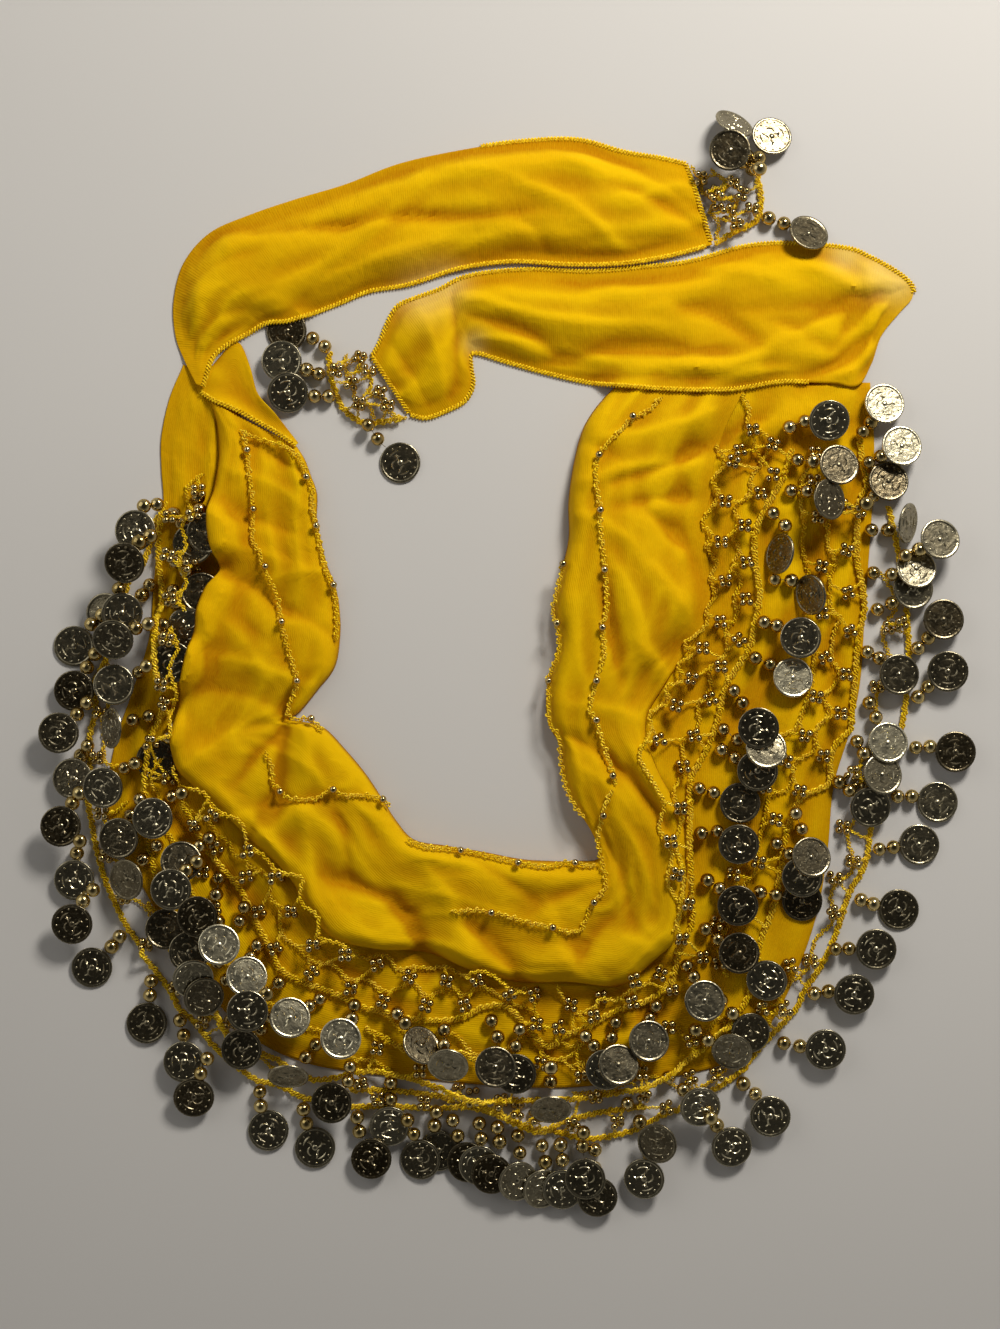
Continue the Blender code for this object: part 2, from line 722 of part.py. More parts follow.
def raised_cloth(name, table, stack, look, collection, cell=CLOTH_CELL, core=None, core_ends=(1, 1)):
    """A crowned and folded stretch of cloth over what lies below it. A name for core adds the rounded solid
    of the hidden layers under it, which leaves out this many cuts at each end."""
    x, y, across, cuts = band(table, cell)
    base = stack.floor_for(x, y)
    lift = crown_height(across, cuts)
    folded = fold_height(x, y) * np.minimum(lift / FOLDED_CROWN, 1)
    shaped = np.maximum(lift + folded, CROWN_KEPT * lift)
    low = base + shaped
    made = [slab(name, x, y, low, low + CLOTH_THICKNESS, look, collection)]
    if core:
        inner = np.s_[core_ends[0]:x.shape[0] - core_ends[1], 1:-1]
        core_high = np.maximum(low[inner] - GAP, base[inner] + CORE_MIN_THICKNESS)
        if (core_high > low[inner] - GAP / 2).any():
            raise ValueError(f"{core}: the cloth lies too low for its core")
        made.append(slab(core, x[inner], y[inner], base[inner], core_high, look, collection))
    return made


def lying_strip(name, table, cell, thickness, stack, look, collection):
    """A net or a fringe that lies on whatever is below it."""
    x, y, _, _ = band(table, cell)
    low = stack.floor_for(x, y)
    return slab(name, x, y, low, low + thickness, look, collection)


def braid(name, points, stack, look, collection):
    """A cord sewn along the cloth, over a smooth curve through its points."""
    rows = np.array(points, float)
    length = np.linalg.norm(np.diff(rows, axis=0), axis=1).sum() * MM
    plan = smooth_rows(rows, round(length / BRAID_STEP) + 1) * MM
    low = stack.top(plan[:, 0], plan[:, 1], BRAID_STEP + BRAID_RADIUS + 2 * RASTER)
    curve = bpy.data.curves.new(name, "CURVE")
    curve.dimensions = "3D"
    curve.bevel_depth = BRAID_RADIUS
    curve.bevel_resolution = 1
    curve.use_fill_caps = True
    spline = curve.splines.new("POLY")
    spline.points.add(len(plan) - 1)
    for point, (x, y), z in zip(spline.points, plan, low):
        point.co = (x, y, z + 1.1 * BRAID_RADIUS + GAP, 1)
    return link(bpy.data.objects.new(name, curve), collection, look)


def bead_profile():
    """Radius of the beaded thread along its axis, from inside the coin's rim to past the outer bead."""
    start = -THREAD_IN_COIN
    profile = [(start, 0.0), (start, THREAD_RADIUS)]
    neck = math.asin(THREAD_RADIUS / BEAD_RADIUS)
    for number in range(BEADS_ON_A_DROP):
        middle = (2 * number + 1) * BEAD_SPACING * BEAD_RADIUS
        for angle in np.linspace(neck, math.pi - neck, BEAD_RINGS):
            profile.append((middle - BEAD_RADIUS * math.cos(angle), BEAD_RADIUS * math.sin(angle)))
    end = profile[-1][0] + THREAD_PAST_BEADS
    return profile + [(end, THREAD_RADIUS), (end, 0.0)]


def beaded_thread(name):
    """The beads and their thread as one turned mesh along +X."""
    bm = bmesh.new()
    profile = [bm.verts.new((along, 0, radius)) for along, radius in bead_profile()]
    edges = [bm.edges.new(pair) for pair in zip(profile, profile[1:])]
    bmesh.ops.spin(
        bm, geom=profile + edges, axis=(1, 0, 0), steps=BEAD_SIDES, angle=math.tau, use_merge=True
    )
    bmesh.ops.remove_doubles(bm, verts=bm.verts[:], dist=MERGE_DISTANCE)
    bmesh.ops.recalc_face_normals(bm, faces=bm.faces[:])
    mesh = bpy.data.meshes.new(name)
    bm.to_mesh(mesh)
    bm.free()
    return mesh


def coin_blank(name):
    bm = bmesh.new()
    bmesh.ops.create_cone(
        bm, cap_ends=True, segments=COIN_SIDES, radius1=COIN_RADIUS, radius2=COIN_RADIUS, depth=COIN_THICKNESS
    )
    mesh = bpy.data.meshes.new(name)
    bm.to_mesh(mesh)
    bm.free()
    return mesh


def drop_height(coin, outward, stack):
    """How high a drop must lie to clear what is under its coin and its beads."""
    spots = [coin + outward * step * MM for step in range(0, 25, 3)]
    x = np.array([spot.x for spot in spots])
    y = np.array([spot.y for spot in spots])
    below = max(
        stack.top(x[:3], y[:3], COIN_RADIUS + 2 * RASTER).max(),
        stack.top(x, y, BEAD_RADIUS + 4 * RASTER).max(),
    )
    return below + GAP if below > 0 else 0.0


def coin_drop(drop, stack, look, collection, guides):
    """Two beads and a coin on a thread. The coin lies tipped, its near edge held up by the beads."""
    coin = Vector((drop.coin_x, drop.coin_y, 0)) * MM
    outward = (Vector((drop.anchor_x, drop.anchor_y, 0)) * MM - coin).normalized()
    tip = math.asin(COIN_TIP * BEAD_RADIUS / COIN_RADIUS)
    centre_height = drop_height(coin, outward, stack) + COIN_RADIUS * math.sin(tip) + COIN_THICKNESS / 2
    spin = Matrix.Rotation(math.atan2(outward.y, outward.x), 4, "Z")
    disc = link(bpy.data.objects.new(drop.name, coin_blank(drop.name)), collection, look)
    middle = coin + Vector((0, 0, centre_height))
    disc.matrix_world = Matrix.Translation(middle) @ spin @ Matrix.Rotation(-tip, 4, "Y")
    thread = link(bpy.data.objects.new(drop.name + "_thread", beaded_thread(drop.name)), guides, look)
    thread.hide_render = True
    thread.display_type = "WIRE"
    rim = middle + outward * COIN_RADIUS * math.cos(tip) + Vector((0, 0, COIN_RADIUS * math.sin(tip)))
    thread.matrix_world = Matrix.Translation(rim) @ spin
    union = disc.modifiers.new("Beads", "BOOLEAN")
    union.operation = "UNION"
    union.object = thread
    bpy.context.view_layer.update()
    return disc


def centre(collection):
    """Moves the layout so that the origin is at the bottom centre of its box."""
    graph = bpy.context.evaluated_depsgraph_get()
    corners = []
    for obj in collection.objects:
        evaluated = obj.evaluated_get(graph)
        mesh = evaluated.to_mesh()
        corners += [evaluated.matrix_world @ vertex.co for vertex in mesh.vertices]
        evaluated.to_mesh_clear()
    points = np.array(corners)
    low, high = points.min(axis=0), points.max(axis=0)
    shift = Matrix.Translation(Vector((-(low[0] + high[0]) / 2, -(low[1] + high[1]) / 2, -low[2])))
    for obj in bpy.data.objects:
        obj.matrix_world = shift @ obj.matrix_world
    bpy.context.view_layer.update()


def main():
    clear_scene()
    scarf = bpy.data.collections.new("hip_scarf")
    guides = bpy.data.collections.new("drop_threads")
    for collection in (scarf, guides):
        bpy.context.scene.collection.children.link(collection)
    chiffon = material("yellow_chiffon", (0.72, 0.42, 0.005), 0.75)
    cord = material("gold_cord", (0.75, 0.5, 0.08), 0.45)
    metal = material("coin_metal", (0.2, 0.17, 0.1), 0.35, 1.0)
    stack = Stack()

    # The panel that carries the nets lies on the floor.
    stack.add(
        flat_cloth("body_left_under", BODY_LEFT_UNDER, chiffon, scarf),
        flat_cloth("body_bottom_under", BODY_BOTTOM_UNDER, chiffon, scarf),
        flat_cloth("body_right_under", BODY_RIGHT_UNDER, chiffon, scarf),
    )
    # The waist side is folded over it.
    stack.add(
        *raised_cloth("body_left_top", BODY_LEFT_TOP, stack, chiffon, scarf, core="folds_left"),
        *raised_cloth("body_bottom_top", BODY_BOTTOM_TOP, stack, chiffon, scarf, core="folds_bottom"),
        *raised_cloth("body_right_top", BODY_RIGHT_TOP, stack, chiffon, scarf, core="folds_right"),
    )
    # The ties turn over themselves and lie back across the body.
    stack.add(
        *raised_cloth("tie_a_turn", TIE_A_TURN, stack, chiffon, scarf, cell=TURN_CELL),
        *raised_cloth("tie_b_turn", TIE_B_TURN, stack, chiffon, scarf, cell=TURN_CELL),
    )
    for drop in DROPS_TIE_B:
        stack.add(coin_drop(drop, stack, metal, scarf, guides))
    stack.add(
        *raised_cloth("tie_a", TIE_A, stack, chiffon, scarf, core="folds_tie_a", core_ends=(2, 1)),
        *raised_cloth("tie_b", TIE_B, stack, chiffon, scarf, core="folds_tie_b", core_ends=(2, 1)),
        *raised_cloth("tie_b_end", TIE_B_END, stack, chiffon, scarf, core="folds_tie_b_end"),
    )
    stack.add(
        lying_strip("net_tie_a", NET_TIE_A, LACE_CELL, LACE_THICKNESS, stack, cord, scarf),
        lying_strip("net_tie_b", NET_TIE_B, LACE_CELL, LACE_THICKNESS, stack, cord, scarf),
    )
    for drop in DROPS_TIE_A:
        stack.add(coin_drop(drop, stack, metal, scarf, guides))
    # The three rows of net, from the hem up, each with its fringe over the row below.
    rows = (
        ("3", (NET_3_LEFT, NET_3_BOTTOM, NET_3_RIGHT), (FRINGE_3_LEFT, FRINGE_3_BOTTOM, FRINGE_3_RIGHT)),
        ("2", (NET_2_LEFT, NET_2_BOTTOM, NET_2_RIGHT), (FRINGE_2_LEFT, FRINGE_2_BOTTOM, FRINGE_2_RIGHT)),
        ("1", (None, NET_1_BOTTOM, NET_1_RIGHT), (None, FRINGE_1_BOTTOM, FRINGE_1_RIGHT)),
    )
    for row, nets, fringes in rows:
        for kind, tables, cell, thickness, look in (
            ("net", nets, LACE_CELL, LACE_THICKNESS, cord),
            ("fringe", fringes, FRINGE_CELL, FRINGE_THICKNESS, metal),
        ):
            made = [
                lying_strip(f"{kind}_{row}_{side}", table, cell, thickness, stack, look, scarf)
                for side, table in zip(("left", "bottom", "right"), tables)
                if table
            ]
            stack.add(*made)
    for name, points in BRAIDS.items():
        braid(name, points, stack, cord, scarf)
    centre(scarf)


main()
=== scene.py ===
"""Looks of the belly dance hip scarf: chiffon, gold cord, beads and coins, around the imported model.

Plan positions are in millimetres from the lowest left corner of the laid-out scarf, as in the part's own
source: x to the right, y away from the reader. Heights are in millimetres above the surface it lies on.
"""

import math
from collections import namedtuple

import bmesh
import bpy
import numpy as np
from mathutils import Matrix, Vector

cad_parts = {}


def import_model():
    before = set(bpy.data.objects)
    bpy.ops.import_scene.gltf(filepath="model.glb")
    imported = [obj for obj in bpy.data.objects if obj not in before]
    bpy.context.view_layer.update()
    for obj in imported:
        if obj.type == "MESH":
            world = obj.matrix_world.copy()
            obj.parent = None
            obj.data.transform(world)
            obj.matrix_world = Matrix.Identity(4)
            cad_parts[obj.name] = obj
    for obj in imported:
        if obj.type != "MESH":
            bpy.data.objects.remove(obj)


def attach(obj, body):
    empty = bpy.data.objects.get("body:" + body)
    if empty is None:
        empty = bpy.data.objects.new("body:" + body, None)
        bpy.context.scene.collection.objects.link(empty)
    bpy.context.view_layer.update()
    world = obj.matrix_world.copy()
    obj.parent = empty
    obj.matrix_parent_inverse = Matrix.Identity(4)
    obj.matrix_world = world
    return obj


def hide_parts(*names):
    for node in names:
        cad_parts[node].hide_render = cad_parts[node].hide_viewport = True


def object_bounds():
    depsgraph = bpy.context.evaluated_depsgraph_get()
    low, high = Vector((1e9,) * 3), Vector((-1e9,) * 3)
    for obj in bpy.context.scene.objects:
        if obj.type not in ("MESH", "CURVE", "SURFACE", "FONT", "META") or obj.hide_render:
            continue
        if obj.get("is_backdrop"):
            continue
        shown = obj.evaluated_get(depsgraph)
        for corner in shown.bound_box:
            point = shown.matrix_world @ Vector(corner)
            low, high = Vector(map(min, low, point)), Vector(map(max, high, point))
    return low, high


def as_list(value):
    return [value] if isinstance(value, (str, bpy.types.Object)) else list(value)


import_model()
CAD_LOW, CAD_HIGH = (list(corner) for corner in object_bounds())

MM = 0.001
SHARP_ANGLE = math.radians(48)

# Cloth.
CLOTH_STEP = 1.35
UNDER_STEP = 2.3
CLOTH_THICKNESS = 0.45
CLEARANCE = 0.35
FOLD_ROLL = 9.0
HEM_ROLL = 15.0
LYING_ROLL = 14.0
DRAPE_REACH = 4
DRAPE_BLUR = 9
TOUCH_REACH = 1.5
# How far round a cloth point its hollow is measured, and how deep a hollow must be to take the full painted
# shade.
HOLLOW_REACH = 5
HOLLOW_DEPTH = 1.6
RIB_PITCH = 1.05

# How wide a trough and a ridge are on their left and right, as shares, and how they fall off.
TROUGH = (1.15, 0.5, 1.4)
RIDGE = (0.5, 1.1, 1.6)
NARROWEST_CREASE = 3.4
CREASE_FADE = 8

# Cord, beads and coins: radii, and lengths of one twist.
MAIN_CORD = 1.3
CHAIN_CORD = 0.92
BRAID_CORD = 0.95
HEM_CORD = 1.2
LINK_CORD = 0.75
LINK_REACH = (2.0, 15.0)
LINK_SPREAD = 4
MAIN_PITCH = 5.0
CHAIN_PITCH = 3.6
HEM_PITCH = 3.2
THREAD = 0.3
THREAD_PITCH = 6.0
LARGE_BEAD = 3.45
SMALL_BEAD = 1.85
CLUSTER_SPREAD = SMALL_BEAD * 1.28
COIN_RADIUS = 10.0
COIN_THICKNESS = 1.2
# Coin tint: the coins turned to the light get a painted lit tint; the others a random tone up to the second
# value.
LIT_TINT = 0.6
UNLIT_TONE = 0.3

# Above this height a pile is pressed together, to this share.
PILE = 15.0
PRESSED = 0.75

# The raster of heights, one cell a millimetre, with a margin round the scarf.
MARGIN = 25
RASTER_SHAPE = (520, 600)

Section = namedtuple("Section", "outer_x outer_y inner_x inner_y crown")
Crease = namedtuple("Crease", "x0 y0 x1 y1 bend left right height")
Drop = namedtuple("Drop", "coin_x coin_y near_x near_y far_x far_y tilt towards", defaults=(0, 0))


def table(row_type, *rows):
    return [row_type(*row) for row in rows]


# A row for each section across a band of cloth: its outer edge, its inner edge, and how far it stands up.
TIE_A = table(
    Section,
    (77, 409.5, 80.5, 408.5, 3), (70.5, 422, 85, 423, 4), (66, 434, 93, 430, 5), (65, 451, 102, 435, 8),
    (70, 470, 111, 440, 9), (83, 485, 122, 441, 9), (103, 494, 134, 445, 8), (125, 501.5, 147, 450, 8),
    (150, 509, 162, 456, 8), (176, 519, 182, 459.5, 8), (205, 525.5, 206, 467, 8), (235, 530, 232, 470.5, 9),
    (264, 531, 260, 469, 9), (287, 525, 286, 469.5, 8), (305, 522, 308, 473, 6), (318, 519, 331, 479, 3),
)
TIE_A_TURN = table(
    Section,
    (78, 410, 79, 406, 1), (88, 424, 85, 402, 3), (97, 431, 92, 399, 4), (103, 419, 99, 396, 4),
    (107, 405.5, 107, 391.5, 4), (116, 395, 115, 387, 3), (127, 381, 126, 379.5, 1),
)
TIE_B = table(
    Section,
    (430.5, 457.5, 430.5, 455.5, 1), (428.5, 460.5, 429, 451.5, 2), (424, 464.5, 423.5, 445.5, 4),
    (416, 469.5, 414.5, 434, 5), (408, 473.5, 409.5, 420, 6), (400, 477, 402, 409, 4),
    (385, 479, 388, 410, 6), (365, 480, 365, 411, 7), (345, 478, 340, 407, 7), (320, 471, 318, 406.5, 7),
    (295, 468, 293, 408, 7), (270, 466, 270, 411, 7), (245, 467, 248, 416, 7), (225, 466, 230, 421, 7),
    (208, 463, 213.5, 425.5, 7), (196, 457, 212, 419, 7), (185, 453, 213, 410, 7), (176, 449, 209, 402, 6),
    (171, 441, 200, 397, 5), (167, 431, 190, 393.5, 4), (163, 424, 182, 395, 2),
)
BODY_TOP = table(
    Section,
    # The left side
    (84, 401, 126, 379.5, 3), (87, 390, 130, 373, 5), (88, 375, 133, 365, 5), (86, 361, 136, 356, 5),
    (83, 347, 136, 343, 5), (84, 332, 138, 333, 6), (88.5, 319, 141, 321, 6), (82, 310, 145, 311, 6),
    (78, 299, 147, 300, 6), (77, 289, 147.5, 287, 7), (73, 275, 145, 271, 7), (70, 261, 137, 260, 7),
    (67, 247, 128, 249, 7), (65, 234, 122, 245, 7),
    # The bottom
    (67, 221, 127, 244, 9), (76, 211, 139, 241, 10), (88, 201, 150, 230, 10), (103, 186, 160, 218, 10),
    (120, 170, 168, 206, 10), (131, 154, 175, 195, 10), (143, 138, 184, 185.5, 11),
    (165, 132, 200, 182.5, 11), (190, 130, 218, 179.5, 11), (212, 121, 236, 176, 11),
    (235, 115.5, 251, 175, 11), (262, 115.5, 265, 175, 11), (285, 113.5, 274.5, 176, 11),
    # The right side
     (303, 127, 274, 183, 11), (313, 138, 271, 190, 11), (317, 158, 266, 198, 12),
    (319, 180, 260, 208, 13), (314, 201, 257, 219, 14), (303, 222, 256, 231, 15), (298, 243, 250, 243, 15),
    (307, 261, 249, 256, 15), (316, 275, 252, 270, 15), (326, 290, 255, 285, 15), (330, 306, 253, 300, 15),
    (329, 322, 256, 316, 15), (327, 340, 260, 334, 15), (330, 356, 260, 353, 14), (332, 372, 263, 373, 13),
    (338, 390, 268, 390, 11), (346, 406, 278, 404, 8), (352, 418, 291, 415, 5),
)
BODY_UNDER = table(
    Section,
    (70, 420, 88, 412, 1), (63, 403, 96, 402, 2), (59, 384, 98, 386, 2), (59, 369, 98, 368, 2),
    (60, 350, 96, 350, 2), (57, 330, 95, 330, 2), (55, 308, 94, 310, 2), (53, 285, 90, 288, 2),
    (45, 259, 85, 266, 2), (37, 236, 83, 246, 2), (33, 212, 84, 228, 2), (35, 188, 91, 212, 2),
    (50, 162, 103, 196, 2), (62, 140, 118, 180, 2), (80, 114, 134, 163, 2), (101, 90, 150, 147, 2),
    (128, 76, 170, 142, 2), (160, 70, 192, 141, 2), (192, 67, 214, 135, 2), (224, 64, 238, 130, 2),
    (257, 63, 262, 128, 2), (290, 66, 284, 130, 2), (320, 70, 297, 138, 2), (346, 79, 303, 150, 2),
    (362, 98, 305, 166, 2), (374, 123, 304, 184, 2), (383, 150, 300, 202, 2), (388, 180, 290, 224, 2),
    (391, 212, 287, 246, 2), (399, 239, 296, 266, 2), (404, 263, 308, 284, 2), (406, 291, 316, 305, 2),
    (408, 320, 316, 326, 2), (410, 350, 316, 350, 2), (411, 380, 321, 380, 2), (409, 411, 334, 412, 2),
)

# The creases listed here. Each runs between two points, bowed to its left by its bend. Its two sides have
# their own widths, and a trough has a negative height.
CREASES = table(
    Crease,
    # Tie A
    (108, 484, 150, 487, 1, 6, 4, -4.5), (148, 487, 192, 492, 2, 5, 5, -4.0),
    (188, 492, 238, 494, -1, 4, 6, -3.5), (236, 491, 250, 474, 2, 5, 5, -2.5),
    (203, 516, 240, 507, 2, 6, 5, 2.5), (238, 507, 282, 479, 4, 7, 5, 2.8),
    (218, 513, 238, 509, 0, 4, 4, -2.0), (283, 507, 323, 487, 3, 6, 5, -3.4),
    (268, 527, 322, 497, 3, 5, 4, -2.2), (120, 458, 186, 511, -6, 5, 4, 2.0),
    (128, 450, 160, 470, 4, 5, 4, -2.2), (75, 430, 99, 447, 3, 4, 4, -2.6), (70, 442, 92, 458, 3, 5, 4, 2.0),
    (76, 460, 104, 474, 3, 5, 5, -2.4), (84, 478, 108, 486, 1, 4, 4, 1.8), (165, 470, 206, 480, 2, 6, 5, 2.2),
    (196, 474, 228, 484, 3, 5, 4, -2.0), (148, 500, 182, 508, 1, 4, 4, 1.6),
    (158, 478, 186, 498, -2, 4, 4, -1.5), (255, 522, 282, 507, 2, 5, 4, 1.8),
    (262, 478, 305, 482, 2, 5, 4, -1.8), (292, 500, 318, 508, 1, 4, 4, 1.6),
    (114, 466, 132, 486, 2, 5, 4, 1.8), (66, 452, 74, 468, -2, 3, 5, 1.5),
    # Tie A's turn
    (88, 421, 101, 411, 1, 4, 4, -2.0), (79, 409, 100, 404, -1, 4, 3, -1.6),
    (98, 425, 114, 394, -3, 4, 3, 1.5),
    # Tie B
    (203, 453, 230, 447, 1, 5, 5, 3.0), (228, 446, 300, 438, -2, 6, 7, 3.4),
    (215, 442, 256, 424, 3, 6, 6, -3.5), (250, 420, 312, 427, 3, 8, 7, -4.5),
    (316, 448, 352, 430, 3, 7, 6, -4.0), (374, 468, 412, 450, 2, 5, 4, 2.0),
    (376, 460, 418, 452, -1, 5, 4, -2.2), (340, 447, 410, 453, -2, 5, 5, -2.2),
    (392, 431, 409, 450, 1, 3, 3, -3.5), (202, 454, 204, 404, 2, 5, 6, -3.8),
    (186, 446, 198, 404, 3, 6, 6, 1.8), (172, 430, 190, 402, 1, 4, 4, -1.5),
    (270, 458, 330, 462, 2, 5, 4, -1.8), (240, 457, 285, 450, 1, 4, 4, -1.6),
    (326, 468, 366, 458, 2, 6, 4, 2.0), (318, 418, 362, 416, -2, 5, 5, 2.2),
    (352, 424, 388, 440, 2, 5, 4, 2.0), (300, 446, 322, 452, 1, 4, 4, 1.6),
    (222, 432, 246, 424, 1, 4, 4, 1.6), (356, 442, 384, 430, 2, 4, 5, -2.0),
    (330, 412, 356, 420, 0, 4, 4, -1.6), (422, 449, 378, 413, 4, 4, 4, -5.0),
    (424, 443, 388, 410, 3, 6, 4, 3.2), (384, 474, 404, 464, 1, 4, 3, -1.4),
    (412, 452, 372, 436, -3, 5, 4, -2.8), (404, 458, 366, 462, 2, 6, 4, 2.2),
    # Left body
    (88, 316, 120, 298, 3, 8, 7, -3.6), (84, 298, 110, 268, 3, 8, 8, 2.4),
    (118, 300, 146, 284, 2, 7, 6, -2.6), (88, 345, 120, 338, 2, 7, 6, -2.6),
    (96, 366, 128, 350, 3, 7, 6, 2.0), (100, 385, 130, 366, -1, 4, 6, -2.6),
    (86, 330, 120, 322, 2, 6, 6, 2.2), (78, 260, 118, 250, 3, 8, 7, -1.8), (74, 222, 112, 247, 2, 6, 7, 2.6),
    (88, 275, 130, 262, 2, 7, 6, 1.8), (112, 312, 140, 318, 2, 6, 5, 1.8),
    (104, 290, 124, 268, 2, 6, 6, -1.6),
    # Corner and bottom
    (120, 246, 117, 204, 0, 5, 8, -5.5), (131, 238, 131, 210, 0, 9, 8, 2.2),
    (121, 205, 144, 208, -2, 4, 6, -2.2), (128, 202, 134, 160, 2, 7, 6, 2.4),
    (112, 206, 96, 176, 1, 5, 5, -2.2), (144, 206, 152, 170, 2, 5, 6, -2.6),
    (100, 218, 122, 240, 2, 5, 6, -5.0), (110, 232, 140, 214, 3, 5, 5, 2.0),
    (145, 166, 180, 150, 3, 9, 7, -6.0), (176, 152, 188, 122, 3, 7, 6, -6.0),
    (203, 180, 240, 159, 2, 7, 6, -3.6), (212, 143, 238, 114, 2, 7, 5, -5.5),
    (134, 198, 162, 168, 3, 9, 8, 3.0), (250, 152, 264, 120, -2, 8, 7, 2.6),
    (190, 172, 212, 130, 3, 9, 7, 3.0), (92, 198, 140, 206, 3, 6, 6, -2.0),
    (112, 188, 150, 212, 2, 6, 6, 2.2), (240, 150, 272, 164, 2, 7, 6, -2.2),
    (160, 200, 196, 176, 2, 5, 5, 2.0), (262, 122, 284, 150, 3, 7, 6, -2.8),
    (148, 148, 168, 134, 1, 5, 6, 2.0), (228, 122, 252, 116, 1, 5, 5, 1.6),
    (280, 140, 302, 130, 2, 6, 6, 2.0),
    # Right body
    (280, 383, 342, 401, -3, 6, 7, 3.0), (284, 362, 352, 392, -3, 5, 6, -5.6),
    (270, 362, 331, 371, 3, 6, 6, 3.2), (288, 350, 330, 353, 2, 6, 6, -3.8),
    (300, 345, 329, 309, 4, 6, 6, -5.5), (281, 322, 296, 280, 2, 6, 6, 3.8),
    (294, 282, 312, 260, 2, 5, 6, 3.0), (279, 302, 285, 268, -1, 5, 5, -4.4),
    (256, 238, 284, 221, 2, 6, 6, -4.0), (282, 222, 315, 180, 3, 6, 5, -5.5),
    (262, 300, 268, 262, -2, 6, 6, 2.0), (264, 345, 292, 330, 2, 7, 6, 2.4),
    (264, 222, 292, 196, 3, 6, 6, 2.6), (296, 322, 322, 290, 3, 6, 6, 2.6),
    (262, 252, 296, 244, 2, 6, 5, 2.0), (284, 196, 300, 158, 3, 7, 6, 2.6),
    (276, 190, 290, 150, 2, 5, 6, -2.6), (276, 400, 300, 412, 1, 4, 5, -2.0),
    (310, 330, 326, 322, 1, 4, 4, 1.8), (262, 382, 282, 374, 1, 5, 5, -2.0),
    (300, 270, 322, 284, 1, 4, 5, -2.0),
    # Under panels, where they show between the nets
    (398, 404, 336, 384, 3, 5, 6, 3.0), (400, 392, 340, 366, -3, 6, 5, -3.0),
    (404, 378, 352, 340, 3, 6, 6, 3.0), (398, 352, 362, 318, 2, 6, 6, -2.6),
    (376, 330, 346, 282, 3, 6, 6, 3.0), (398, 326, 372, 268, 2, 6, 6, 2.4),
    (366, 292, 342, 246, 2, 6, 6, -2.8), (382, 262, 352, 204, 3, 7, 6, 3.0),
    (352, 222, 330, 172, 3, 6, 6, -2.8), (372, 212, 346, 158, 2, 6, 6, 2.6),
    (340, 190, 312, 132, 3, 6, 6, 2.8), (392, 300, 388, 236, 2, 5, 5, -2.0), (60, 340, 64, 280, 2, 5, 5, 1.8),
    (42, 256, 58, 200, 3, 6, 6, 2.2), (60, 190, 96, 140, 3, 7, 6, 2.4), (100, 130, 150, 92, 3, 7, 6, 2.6),
    (200, 92, 250, 72, 2, 6, 6, 2.4), (270, 84, 320, 92, 2, 6, 6, 2.4), (138, 128, 176, 98, 3, 6, 6, -2.4),
    (226, 112, 250, 80, 2, 6, 6, -2.2), (282, 116, 306, 80, 3, 6, 6, -2.2),
)

# Where one layer lies on the pale surface and shows it: middle and reach.
THIN_SPOTS = ((188, 454, 11), (200, 459, 9), (414, 467, 10), (423, 460, 9), (397, 474, 8), (214, 430, 5))

